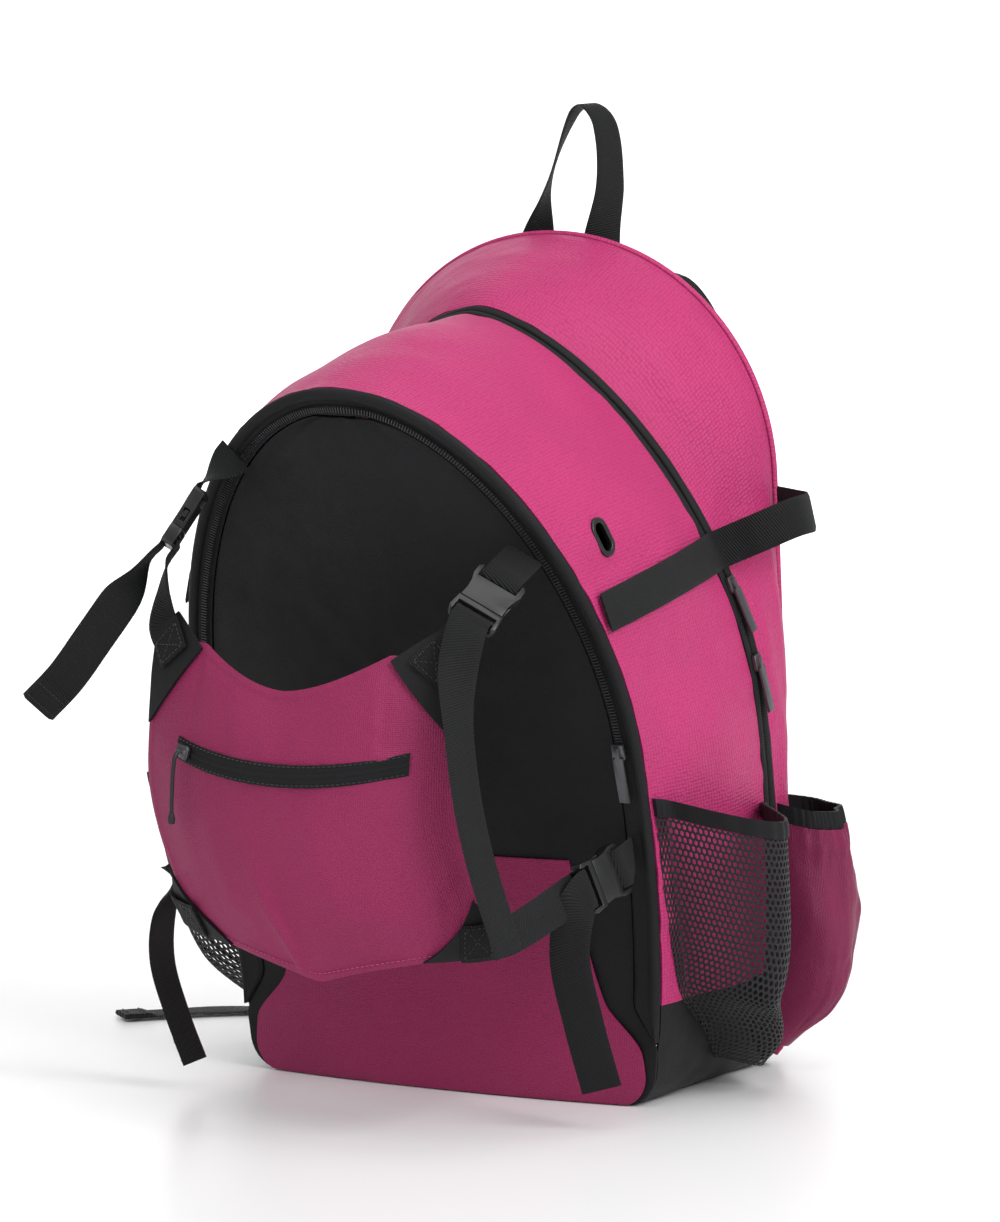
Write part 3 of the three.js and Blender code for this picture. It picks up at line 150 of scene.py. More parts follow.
BOTTLE_POCKET = (
    dict(t=0, front=0.5, rear=0.93, swell=0.4),
    dict(t=0.12, front=0.36, rear=0.94, swell=0.66),
    dict(t=0.3, front=0.14, rear=0.945, swell=0.86),
    dict(t=0.6, front=0.05, rear=0.95, swell=0.96),
    dict(t=1, front=0.03, rear=0.95, swell=1.0),
)
BAT_SLEEVE = (
    dict(t=0, front=1.2, rear=1.86, swell=0.2),
    dict(t=0.2, front=1.16, rear=1.93, swell=0.88),
    dict(t=0.38, front=1.15, rear=1.94, swell=1.0),
    dict(t=0.7, front=1.15, rear=1.94, swell=0.98),
    dict(t=1, front=1.15, rear=1.94, swell=0.76),
)
BOTTLE_ROUND = (
    dict(t=0, out=0), dict(t=0.08, out=0.02), dict(t=0.17, out=0.62), dict(t=0.25, out=0.95),
    dict(t=0.34, out=1), dict(t=0.45, out=0.84), dict(t=0.6, out=0.52), dict(t=0.8, out=0.18),
    dict(t=0.94, out=0.02), dict(t=1, out=0),
)
SLEEVE_ROUND = (
    dict(t=0, out=0), dict(t=0.06, out=0.34), dict(t=0.17, out=0.7), dict(t=0.34, out=0.95),
    dict(t=0.5, out=1), dict(t=0.66, out=0.95), dict(t=0.83, out=0.7), dict(t=0.94, out=0.34),
    dict(t=1, out=0),
)

BAT_STRAP = (
    dict(t=0.04, lift=0), dict(t=0.9, lift=0), dict(t=1.04, lift=0.02), dict(t=1.16, lift=0.4),
    dict(t=1.32, lift=0.84), dict(t=1.5, lift=1), dict(t=1.7, lift=0.84), dict(t=1.86, lift=0.4),
    dict(t=1.95, lift=0.02),
)

FLAP = (
    dict(t=0, height=0, half=0.53, aside=0.13, reach=0.9, recede=0.08),
    dict(t=0.12, height=0.1, half=0.79, aside=0.14, reach=0.95, recede=0.15),
    dict(t=0.25, height=0.22, half=0.94, aside=0.08, reach=0.99, recede=0.2),
    dict(t=0.5, height=0.5, half=0.985, aside=-0.045, reach=1.02, recede=0.22),
    dict(t=0.75, height=0.75, half=0.99, aside=-0.045, reach=0.99, recede=0.19),
    dict(t=1, height=1, half=0.98, aside=-0.05, reach=0.88, recede=0.14),
    dict(t=1.3, height=1.26, half=1.08, aside=-0.06, reach=0.62, recede=0.04),
)

# The black patches on the flap's corners: the ends of the seam on the flap, and of the narrow edge
PATCHES = (
    dict(name="flap_corner", start=((0.61, 0.98), (0.98, 0.735)), end=((0.84, 1.09), (1.01, 1.0))),
    dict(name="flap_foot_corner", start=((0.99, 0.28), (0.87, 0.07)), end=((1.12, 0.205), (1.14, 0.085))),
)
UPPER_SEAM = dict(points=((0.8, 0.94), (0.845, 0.975), (0.89, 1.01), (0.935, 1.045)), lift=3 * CLOTH)
LOWER_SEAM = dict(
    points=((0.98, 0.145), (1.04, 0.146), (1.09, 0.15), (1.14, 0.156), (1.19, 0.168)), lift=3 * CLOTH,
)
# Where the flap lies smooth under the patches: beyond these places, upward or downward
SMOOTH_PLACES = (dict(s=0.56, t=0.69, way=1), dict(s=0.82, t=0.31, way=-1))
FLAP_ZIP_PLACE = dict(s=0.03, t=0.62, smile=0.055)
SLIDER_PLACE = -0.9

# The flap's straps, with shares as in the part's source
FLAP_STRAPS = (
    dict(name="upper_right", sign=1, sewn=UPPER_SEAM, anchor_height=0.683, anchor_inset=1.12, share=0.17,
         outside=(0.35, -0.75, 0.3), bow=(0, 0, 0), hang=(0.25, 0.97, 0),
         tail=((0.005, -0.04, -0.045), (0.005, -0.085, -0.175), (0.055, -0.13, -0.465),
               (0.105, -0.13, -0.69), (0.185, -0.085, -0.995))),
    dict(name="upper_left", sign=-1, sewn=UPPER_SEAM, anchor_height=0.78, anchor_inset=0.47, share=0.42,
         outside=(-0.85, -0.4, 0.2), bow=(-1, -0.75, 0), hang=(-0.6, -0.35, 0.6),
         tail=((-0.03, -0.03, -0.04), (-0.11, -0.05, -0.16), (-0.22, -0.05, -0.3),
               (-0.33, -0.04, -0.43), (-0.44, -0.03, -0.53))),
    dict(name="lower_right", sign=1, sewn=LOWER_SEAM, anchor_height=0.307, anchor_inset=0.7, share=0.55,
         outside=(0.75, -0.6, 0.1), bow=(0, 0, 0), hang=(0.9, 0.4, 0),
         tail=((-0.01, -0.035, -0.035), (-0.03, -0.05, -0.19), (0, -0.01, -0.42), (0.04, 0.03, -0.62))),
    dict(name="lower_left", sign=-1, sewn=LOWER_SEAM, anchor_height=0.307, anchor_inset=0.7, share=0.52,
         outside=(-0.75, -0.6, 0.1), bow=(0, 0, 0), hang=(0.1, 0.99, 0),
         tail=((-0.005, -0.055, -0.02), (-0.075, -0.04, -0.16), (-0.115, 0.01, -0.33),
               (-0.08, 0.04, -0.5), (-0.02, 0.05, -0.65))),
)

# The pull cord's points
CORD_POINTS = (
    (0, 0, 0), (-0.0004, -0.0026, -0.003), (-0.0008, -0.0036, -0.008), (-0.0012, -0.0040, -0.014),
    (-0.0015, -0.0042, -0.020), (-0.0018, -0.0042, -0.026), (-0.0021, -0.0041, -0.032),
    (-0.0023, -0.0039, -0.037),
)

HANDLE = (
    dict(t=0, x=-0.5, z=-0.16, twist=0.02), dict(t=0.12, x=-0.46, z=0.1, twist=0.18),
    dict(t=0.3, x=-0.26, z=0.5, twist=0.32), dict(t=0.45, x=0.1, z=0.93, twist=0.28),
    dict(t=0.52, x=0.34, z=1, twist=0.24), dict(t=0.62, x=0.6, z=0.86, twist=0.22),
    dict(t=0.8, x=0.68, z=0.45, twist=0.2), dict(t=0.92, x=0.56, z=0.1, twist=0.14),
    dict(t=1, x=0.5, z=-0.16, twist=0.02),
)
SHOULDER = (
    dict(t=0, x=0.56, bow=0.085, z=0.9, width=0.8), dict(t=0.12, x=0.74, bow=0.5, z=0.94, width=0.92),
    dict(t=0.3, x=0.94, bow=0.98, z=0.84, width=1), dict(t=0.6, x=1.12, bow=1, z=0.58, width=0.96),
    dict(t=0.85, x=1.36, bow=0.78, z=0.34, width=0.76), dict(t=1, x=1.5, bow=0.6, z=0.24, width=0.5),
)


def unit(a):
    """Vectors of length one."""
    return a / np.maximum(np.linalg.norm(a, axis=-1, keepdims=True), 1e-12)


def smooth(k):
    """Smooth step from 0 to 1."""
    return k * k * (3 - 2 * k)


def ramp(k):
    """Smooth step of a value held between 0 and 1."""
    return smooth(np.clip(k, 0, 1))


def mix(a, b, k):
    """The value at share k from a to b."""
    return a + (b - a) * k


def look_up(table, column, t):
    """Values of a column of a table at t, smoothly between its rows."""
    keys = np.array([row["t"] for row in table], float)
    values = np.array([row[column] for row in table], float)
    t = np.asarray(t, float)
    i = np.searchsorted(keys[1:-1], t, side="left")
    before = np.maximum(i - 1, 0)
    after = np.minimum(i + 2, len(keys) - 1)
    span = keys[i + 1] - keys[i]
    slope_a = (values[i + 1] - values[before]) / (keys[i + 1] - keys[before]) * span
    slope_b = (values[after] - values[i]) / (keys[after] - keys[i]) * span
    k = (t - keys[i]) / span
    return mix(values[i], values[i + 1], smooth(k)) + slope_a * k * (1 - k) ** 2 - slope_b * k * k * (1 - k)


LATTICE_ROWS = 61
LATTICE_COLUMNS = 67


def soft_noise(x, y, seed):
    """Smooth seeded noise from -1 to 1 over a plane."""
    lattice = np.random.RandomState(seed).rand(LATTICE_ROWS, LATTICE_COLUMNS) * 2 - 1
    left, low = np.floor(x).astype(int), np.floor(y).astype(int)
    fx, fy = smooth(x - left), smooth(y - low)
    rows = left % LATTICE_ROWS, (left + 1) % LATTICE_ROWS
    columns = low % LATTICE_COLUMNS, (low + 1) % LATTICE_COLUMNS
    a, b, c, d = (lattice[row, column] for column in columns for row in rows)
    return mix(mix(a, b, fx), mix(c, d, fx), fy)


# Share of half an arch that lies below its shoulder
FOOT_PART = 0.3


class Arch:
    """One arch of the body, from the right foot over the crown to the left foot."""

    def __init__(self, row):
        self.row = row
        self.top = row["height"] * HEIGHT
        self.half = row["width"] * WIDTH / 2
        self.foot = row["foot"] * FOOT_WIDTH / 2
        self.shoulder = row["shoulder"] * HEIGHT
        self.foot_y = FOOT_DEPTH / 2 - row["foot_step"] * FOOT_DEPTH
        self.crown_y = FOOT_DEPTH / 2 - BACK_LEAN - row["crown_step"] * CROWN_DEPTH
        self.points = self.trace(np.linspace(0, 1, 8001))
        reach = np.concatenate([[0], np.cumsum(np.linalg.norm(np.diff(self.points, axis=0), axis=1))])
        self.length = reach[-1]
        self.shares = reach / self.length

    def depth_at(self, z):
        """How far back the arch stands at a height."""
        return mix(self.foot_y, self.crown_y, np.clip(np.asarray(z) / self.top, 0, 1) ** self.row["lean"])

    def trace(self, t):
        """Points along the arch."""
        side = np.where(t <= 0.5, 1, -1)
        k = np.where(t <= 0.5, t * 2, 2 - t * 2)
        low = k < FOOT_PART
        z_low = self.shoulder * (np.minimum(k, FOOT_PART) / FOOT_PART) ** 2
        x_low = mix(self.foot, self.half, 1 - (1 - z_low / self.shoulder) ** 2)
        corner = np.maximum(CORNER_RADIUS - z_low, 0)
        x_low = x_low - (CORNER_RADIUS - np.sqrt(CORNER_RADIUS ** 2 - corner ** 2))
        turn = np.clip((k - FOOT_PART) / (1 - FOOT_PART), 0, 1) * TURN
        x_high = self.half * np.maximum(np.cos(turn), 0) ** (2 / self.row["side"])
        z_high = self.shoulder + (self.top - self.shoulder) * np.sin(turn) ** (2 / self.row["top"])
        z = np.where(low, z_low, z_high)
        return np.stack([side * np.where(low, x_low, x_high), self.depth_at(z), z], -1)

    def at(self, u):
        """Points at shares of the arch's length."""
        u = np.clip(u, 0, 1)
        return np.stack([np.interp(u, self.shares, self.points[:, i]) for i in range(3)], -1)

    def tangent(self, u):
        """Directions along the arch."""
        return unit(self.at(np.asarray(u) + 0.0005) - self.at(np.asarray(u) - 0.0005))

    def share_at(self, height):
        """The share of the length at which the right side reaches a height."""
        half = len(self.shares) // 2
        return np.interp(height, self.points[:half, 2], self.shares[:half])


FRONT, MAIN, BACK = (Arch(row) for row in ARCHES)


def dent_at(u, v):
    """How far the dents move the gussets' cloth."""
    return -sum(
        d["depth"] * DENT_DEPTH
        * np.exp(-((u - d["u"]) / d["spread_u"]) ** 2 - ((v - d["v"]) / d["spread_v"]) ** 2)
        for d in DENTS
    )


def ruled(u, v):
    """The ruled surface through the arches: v is 0 at the front one, 1 at the main zip, 2 at the back."""
    u, v = np.broadcast_arrays(np.asarray(u, float), np.asarray(v, float))
    front, main, back = FRONT.at(u), MAIN.at(u), BACK.at(u)
    k = v[..., None]
    return np.where(k > 1, mix(main, back, k - 1), mix(front, main, k))


def share_at_height(height, v):
    """The share of the gusset's length at which its right side reaches a height on the line v."""
    height, v = np.broadcast_arrays(np.asarray(height, float), np.asarray(v, float))
    low, high = np.zeros(height.shape), np.full(height.shape, 0.5)
    for _ in range(24):
        middle = (low + high) / 2
        below = ruled(middle, v)[..., 2] < height
        low, high = np.where(below, middle, low), np.where(below, high, middle)
    return low


def normal_of(surface, u, v):
    """Outward normals of a surface over u and v."""
    step = 0.006
    along = surface(np.minimum(u + step, 1), v) - surface(np.maximum(u - step, 0), v)
    across = surface(u, np.minimum(v + step, 2)) - surface(u, np.maximum(v - step, 0))
    return unit(np.cross(across, along))


def swollen(u, v):
    """The gussets' cloth with its belly and dents."""
    k = np.where(v > 1, v - 1, v)
    swell = 4 * k * (1 - k)
    fade = ramp(np.minimum(u, 1 - u) / 0.1)
    edge = ramp(swell * 1.6)
    out = fade * (BELLY * swell + edge * dent_at(u, v))
    return ruled(u, v) + normal_of(ruled, u, v) * out[..., None]


def skin(u, v, lift=0.0):
    """Points of the gussets' outer face, lifted by some distance."""
    u, v, lift = np.broadcast_arrays(np.asarray(u, float), np.asarray(v, float), np.asarray(lift, float))
    return swollen(u, v) + normal_of(swollen, u, v) * lift[..., None]


def behind(u, v0, distance):
    """The v that lies some distance behind the line v0."""
    v0 = np.asarray(v0, float)
    rear = v0 + np.where(np.asarray(distance) < 0, -0.5, 0.5) > 1
    low, high = np.where(rear, 1.0, 0.0), np.where(rear, 2.0, 1.0)
    span = np.linalg.norm(ruled(u, high) - ruled(u, low), axis=-1)
    return v0 + distance / span


def face_normal(z):
    """Normals of the front face at a height."""
    z = np.asarray(z, float)
    slope = (FRONT.depth_at(z + 0.002) - FRONT.depth_at(np.maximum(z - 0.002, 0))) / 0.004
    return unit(np.stack([np.zeros_like(slope), -np.ones_like(slope), slope], -1))


def face_edge(u, inset, lift=0.0):
    """Points some distance inside the front arch, in the plane of the face."""
    u, inset, lift = np.broadcast_arrays(
        np.asarray(u, float), np.asarray(inset, float), np.asarray(lift, float),
    )
    point = FRONT.at(u)
    normal = face_normal(point[..., 2])
    inward = unit(np.cross(normal, FRONT.tangent(u)))
    return point + inward * inset[..., None] + normal * lift[..., None]


def face_point(u, s, inset, lift=0.0):
    """Points of the front face: s runs from the right edge, 1, to the left edge, -1."""
    right = face_edge(u, inset)
    lift = np.asarray(lift, float) + np.zeros(np.shape(s))
    swell = FACE_CROWN * (1 - s * s) * ramp((0.5 - u) / 0.12)
    point = np.stack([right[..., 0] * s, right[..., 1] + 0 * s, right[..., 2] + 0 * s], -1)
    return point + face_normal(point[..., 2]) * (swell + lift)[..., None]


def side_share(sign, u):
    """The share u of one side of the bag."""
    return u if sign > 0 else 1 - u


ZIP_HALF = MAIN_ZIP_WIDTH / 2
ZIP_SEAM = ZIP_HALF + SEAM_STEP
FRONT_SEAM = CLOTH + 3 * GAP
BASE_SHARE = float(FRONT.share_at(BASE_WALL_HEIGHT))
GAP_SHARE = GAP / FRONT.length * 1.2
ZIP_FOOT = 0.7


def arc_span(a, trim=GAP_SHARE):
    """Shares of the arch from the top of the base's right wall to that of its left wall."""
    return mix(BASE_SHARE + trim, 1 - BASE_SHARE - trim, a)


def face_inset(u):
    """How far inside the front arch the black face begins."""
    return mix(GAP, FRONT_ZIP_WIDTH + SEAM_STEP, ramp((u / BASE_SHARE - 0.6) / 0.4))


def zip_span(a):
    """Shares of the front arch from the right end of the front zip to its left end."""
    return mix(BASE_SHARE * ZIP_FOOT, 1 - BASE_SHARE * ZIP_FOOT, a)


def pocket_point(pocket, sign, t, across, lift=0.0):
    """Points of a side pocket: t runs up from its floor and across runs from its front edge."""
    t, across = np.broadcast_arrays(np.asarray(t, float), np.asarray(across, float))
    bulge = np.maximum(look_up(pocket["profile"], "out", across), 0)
    height = mix(pocket["floor"], pocket["top"] - pocket["slope"] * across - pocket["dip"] * bulge, t)
    zip_u = share_at_height(height, 1.0)
    front = look_up(pocket["table"], "front", t)
    rear = look_up(pocket["table"], "rear", t)
    if pocket["profile"] is SLEEVE_ROUND:
        front = np.maximum(front, behind(zip_u, 1.0, ZIP_SEAM))
    else:
        rear = np.minimum(rear, behind(zip_u, 1.0, -ZIP_SEAM))
    v = mix(front, rear, across)
    gather = pocket["folds"] * np.sin(across * math.pi * 7) * bulge * smooth(t)
    swell = bulge * pocket["swell"] * look_up(pocket["table"], "swell", t) + gather
    u = side_share(sign, share_at_height(height, v))
    return skin(u, v, SEAM_LIFT + swell + lift)


POCKETS = {
    "bottle_pocket": dict(table=BOTTLE_POCKET, profile=BOTTLE_ROUND, floor=POCKET_FLOOR, top=POCKET_TOP,
                          swell=POCKET_SWELL, slope=POCKET_SLOPE, folds=0.0, dip=0.005),
    "bat_sleeve": dict(table=BAT_SLEEVE, profile=SLEEVE_ROUND, floor=SLEEVE_FLOOR, top=SLEEVE_TOP,
                       swell=SLEEVE_SWELL, slope=0.0, folds=0.0016, dip=0.006),
}

FLAP_ROOT = float(FRONT.depth_at(FLAP_FLOOR + FLAP_HEIGHT * 0.65))


def flap_raw(s, t):
    """Points of the helmet flap's inner face: s runs from its left edge, -1, to its right edge, 1."""
    s, t = np.broadcast_arrays(np.asarray(s, float), np.asarray(t, float))
    middle = FLAP_WIDTH / 2 * look_up(FLAP, "aside", t)
    half = FLAP_WIDTH / 2 * look_up(FLAP, "half", t)
    reach = FLAP_REACH * (look_up(FLAP, "reach", t) - look_up(FLAP, "recede", t) * np.abs(s) ** 2.3)
    height = FLAP_FLOOR + FLAP_HEIGHT * look_up(FLAP, "height", t)
    return np.stack([middle + half * s, FLAP_ROOT - reach, height], -1)


def flap_normal(s, t):
    """Normals of the helmet flap, away from the bag."""
    step = 0.02
    across = flap_raw(np.asarray(s) + step, t) - flap_raw(np.asarray(s) - step, t)
    up = flap_raw(s, np.asarray(t) + step) - flap_raw(s, np.asarray(t) - step)
    return unit(np.cross(across, up))


def flap_point(s, t, lift=0.0):
    """Points of the flap, lifted by some distance."""
    s, t, lift = np.broadcast_arrays(np.asarray(s, float), np.asarray(t, float), np.asarray(lift, float))
    return flap_raw(s, t) + flap_normal(s, t) * lift[..., None]


def flap_top(s):
    """The flap's upper edge."""
    return 1 - FLAP_DIP / FLAP_HEIGHT * (1 - np.minimum(np.abs(s) / 0.6, 1) ** 1.7)


def flap_foot(s):
    """The flap's lower edge."""
    return 0.125 * np.hypot(s, 0.11) - 0.05


def flap_zip_place(k, across):
    """Where the flap's zip lies on the flap: k runs from its left end, -1, to its right end, 1."""
    k, across = np.broadcast_arrays(np.asarray(k, float), np.asarray(across, float))
    s = FLAP_ZIP_PLACE["s"] + k * FLAP_ZIP_LENGTH / FLAP_WIDTH
    return s, FLAP_ZIP_PLACE["t"] + FLAP_ZIP_PLACE["smile"] * k ** 2 + across / FLAP_HEIGHT


def flap_zip_at(k, across, lift):
    """Points of the flap's zip, lifted by some distance."""
    return flap_point(*flap_zip_place(k, across), CLOTH + 2 * GAP + lift)


def home():
    """Where the body's own origin stands in the frame."""
    low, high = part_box("base")
    return np.array([(low.x + high.x) / 2, high.y - FOOT_DEPTH / 2 + GAP, 0.0])


HOME = home()


# Making meshes


def mesh_object(name, points, faces, uvs=None, sharp=35):
    """An object from points and faces in the body's own axes, with smooth shading and sharp edges."""
    mesh = bpy.data.meshes.new(name)
    mesh.from_pydata(
        (np.asarray(points) + HOME).tolist(), [], faces.tolist() if hasattr(faces, "tolist") else faces,
    )
    mesh.update()
    if uvs is not None:
        layer = mesh.uv_layers.new(name="Cloth")
        index = np.zeros(len(mesh.loops), int)
        mesh.loops.foreach_get("vertex_index", index)
        layer.data.foreach_set("uv", np.asarray(uvs, np.float32)[index].ravel())
    mesh.polygons.foreach_set("use_smooth", [True] * len(mesh.polygons))
    mesh.set_sharp_from_angle(angle=math.radians(sharp))
    piece = bpy.data.objects.new(name, mesh)
    bpy.context.scene.collection.objects.link(piece)
    return piece


def outward(points, faces):
    """The faces, turned so that they point out of the closed body that they bound."""
    p = np.asarray(points)
    f = np.asarray(faces)
    volume = np.einsum("ij,ij->i", p[f[:, 0]], np.cross(p[f[:, 1]], p[f[:, 2]])).sum()
    volume += np.einsum("ij,ij->i", p[f[:, 0]], np.cross(p[f[:, 2]], p[f[:, 3]])).sum()
    return f if volume > 0 else f[:, ::-1]


def grid_uv(grid):
    """Cloth coordinates in metres over a grid of points."""
    rows = np.linalg.norm(np.diff(grid, axis=0), axis=-1).mean(1)
    columns = np.linalg.norm(np.diff(grid, axis=1), axis=-1)
    u = np.concatenate([[0], np.cumsum(rows)])
    v = np.concatenate([np.zeros((grid.shape[0], 1)), np.cumsum(columns, axis=1)], axis=1)
    v = v - v[:, -1:] / 2
    return np.stack([np.broadcast_to(u[:, None], v.shape), v], -1)


def shell(name, outer, inner, uv=None):
    """A closed wall between an outer and an inner grid of points."""
    rows, columns = outer.shape[:2]
    count = rows * columns
    index = np.arange(count).reshape(rows, columns)
    a, b, c, d = index[:-1, :-1], index[:-1, 1:], index[1:, 1:], index[1:, :-1]
    quads = np.stack([a, b, c, d], -1).reshape(-1, 4)
    rim = np.concatenate([index[0, :], index[1:, -1], index[-1, -2::-1], index[-2:0:-1, 0]])
    after = np.roll(rim, -1)
    edges = np.stack([after, rim, rim + count, after + count], -1)
    faces = np.concatenate([quads, quads[:, ::-1] + count, edges])
    points = np.concatenate([outer.reshape(-1, 3), inner.reshape(-1, 3)])
    uv = grid_uv(outer) if uv is None else uv
    return mesh_object(name, points, outward(points, faces), np.concatenate([uv.reshape(-1, 2)] * 2))


def tube(name, rings):
    """A closed tube from rings of points, with flat ends."""
    count, sides = rings.shape[:2]
    index = np.arange(count * sides).reshape(count, sides)
    nxt = np.roll(index, -1, axis=1)
    quads = np.stack([index[:-1], nxt[:-1], nxt[1:], index[1:]], -1).reshape(-1, 4)
    points = rings.reshape(-1, 3)
    quads = outward(points, quads)
    flipped = not np.array_equal(quads[0], np.stack([index[0, 0], nxt[0, 0], nxt[1, 0], index[1, 0]]))
    start, end = index[0], index[-1][::-1]
    caps = [start.tolist(), end.tolist()] if flipped else [start[::-1].tolist(), end[::-1].tolist()]
    reach = np.concatenate([[0], np.cumsum(np.linalg.norm(np.diff(rings.mean(1), axis=0), axis=1))])
    girth = np.linspace(0, 1, sides, endpoint=False) * np.linalg.norm(rings[0, 0] - rings[0, sides // 2]) * 3
    uv = np.stack(np.broadcast_arrays(reach[:, None], girth[None, :]), -1).reshape(-1, 2)
    return mesh_object(name, points, quads.tolist() + caps, uv)


def spline(points, spacing):
    """Points along a smooth curve through the given ones, and each one's place in their order."""
    p = np.asarray(points, float)
    ends = np.concatenate([[2 * p[0] - p[1]], p, [2 * p[-1] - p[-2]]])
    out, places = [], []
    for i in range(len(p) - 1):
        a, b, c, d = ends[i:i + 4]
        knots = np.cumsum(
            [0] + [max(np.linalg.norm(q - r), 1e-9) ** 0.5 for q, r in ((b, a), (c, b), (d, c))]
        )
        steps = max(int(math.ceil(np.linalg.norm(c - b) / spacing)), 1)
        t = np.linspace(knots[1], knots[2], steps, endpoint=False)[:, None]
        k0, k1, k2, k3 = knots
        a1 = (k1 - t) / (k1 - k0) * a + (t - k0) / (k1 - k0) * b
        a2 = (k2 - t) / (k2 - k1) * b + (t - k1) / (k2 - k1) * c
        a3 = (k3 - t) / (k3 - k2) * c + (t - k2) / (k3 - k2) * d
        b1 = (k2 - t) / (k2 - k0) * a1 + (t - k0) / (k2 - k0) * a2
        b2 = (k3 - t) / (k3 - k1) * a2 + (t - k1) / (k3 - k1) * a3
        out.append((k2 - t) / (k2 - k1) * b1 + (t - k1) / (k2 - k1) * b2)
        places.append(i + np.arange(steps) / steps)
    return np.concatenate(out + [p[-1:]]), np.concatenate(places + [[len(p) - 1]])


def round_path(path, radius, sides):
    """Rings of a round tube along points."""
    way = unit(np.gradient(path, axis=0))
    across = [unit(np.cross(way[0], (0.3, 0.2, 1.0) if abs(way[0][2]) < 0.9 else (1.0, 0.2, 0)))]
    for w in way[1:]:
        across.append(unit(across[-1] - w * (across[-1] @ w)))
    across = np.array(across)
    other = np.cross(way, across)
    turn = np.linspace(0, 2 * math.pi, sides, endpoint=False)
    return path[:, None] + radius * (
        across[:, None] * np.cos(turn)[None, :, None] + other[:, None] * np.sin(turn)[None, :, None]
    )


RIBBON_COLUMNS = 11


def ribbon(name, points, acrosses, width, thickness, fold=0.0, spacing=0.0025):
    """A webbing strap along points, with the direction of its width at each, and a fold at its end."""
    path, places = spline(points, spacing)
    acrosses = np.asarray(acrosses, float)
    across = np.stack([np.interp(places, np.arange(len(acrosses)), acrosses[:, i]) for i in range(3)], -1)
    way = unit(np.gradient(path, axis=0))
    normal = unit(np.cross(across, way))
    across = unit(np.cross(way, normal))
    lengths = np.linalg.norm(np.diff(path, axis=0), axis=1)
    to_end = np.concatenate([np.cumsum(lengths[::-1])[::-1], [0]])
    double = ramp((fold - to_end) / 0.0016 + 0.5) if fold else np.zeros(len(path))
    c = np.linspace(-1, 1, RIBBON_COLUMNS)
    round_edge = np.sqrt(np.maximum(1 - np.abs(c) ** 8, 0)) * 0.5
    top = round_edge[None, :] * thickness * (1 + 2 * double[:, None])
    bottom = -round_edge[None, :] * thickness * np.ones((len(path), 1))
    side = across[:, None] * (c * width / 2)[None, :, None]
    upper = path[:, None] + side + normal[:, None] * top[..., None]
    lower = path[:, None] + side + normal[:, None] * bottom[..., None]
    rings = np.concatenate([upper, lower[:, -2:0:-1]], axis=1)
    piece = tube(name, rings)
    reach = np.concatenate([[0], np.cumsum(lengths)])
    columns = np.concatenate([c, c[-2:0:-1]]) * width / 2
    uv = np.stack(np.broadcast_arrays(reach[:, None], columns[None, :]), -1).reshape(-1, 2)
    index = np.zeros(len(piece.data.loops), int)
    piece.data.loops.foreach_get("vertex_index", index)
    piece.data.uv_layers[0].data.foreach_set("uv", uv.astype(np.float32)[index].ravel())
    return piece, dict(path=path, across=across, normal=normal, to_end=to_end)


def frame_at(origin, way, normal):
    """A frame with its Y axis along way and its Z axis towards normal."""
    across = unit(np.cross(way, normal))
    up = unit(np.cross(across, way))
    matrix = np.identity(4)
    matrix[:3, 0], matrix[:3, 1], matrix[:3, 2], matrix[:3, 3] = across, unit(way), up, origin
    return matrix


def placed(matrix, *local):
    """Points of a frame."""
    return np.array([matrix[:3, :3] @ np.asarray(p, float) + matrix[:3, 3] for p in local])


METAL_EASE = 0.0004
PLASTIC_EASE = 0.0005
RIM_EASE = 0.0009


def dressed(node, bevel):
    """A hard piece's solid with eased edges."""
    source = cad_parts[node]
    mesh = source.data.copy()
    mesh.materials.clear()
    piece = bpy.data.objects.new(f"{node}_moulded", mesh)
    bpy.context.scene.collection.objects.link(piece)
    work = bmesh.new()
    work.from_mesh(mesh)
    bmesh.ops.remove_doubles(work, verts=work.verts, dist=1e-6)
    bmesh.ops.dissolve_limit(work, angle_limit=math.radians(1), verts=work.verts, edges=work.edges)
    work.to_mesh(mesh)
    work.free()
    modifier = piece.modifiers.new("Ease", "BEVEL")
    modifier.width = bevel
    modifier.segments = 2
    modifier.limit_method = "ANGLE"
    modifier.angle_limit = math.radians(32)
    modifier.use_clamp_overlap = True
    applied(piece)
    piece.data.polygons.foreach_set("use_smooth", [True] * len(piece.data.polygons))
    piece.data.set_sharp_from_angle(angle=math.radians(42))
    return piece


def applied(piece):
    """Turns a piece's modifiers into its mesh."""
    graph = bpy.context.evaluated_depsgraph_get()
    mesh = bpy.data.meshes.new_from_object(piece.evaluated_get(graph))
    piece.modifiers.clear()
    piece.data = mesh
    return piece


def settle(piece, slot, material, *nodes):
    """Gives a piece its material and its place in the frame, and lets it stand for its solids."""
    piece.data.materials.clear()
    piece.data.materials.append(bpy.data.materials[material])
    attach(piece, "root")
    if nodes:
        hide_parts(*nodes)
    return piece


# Making materials


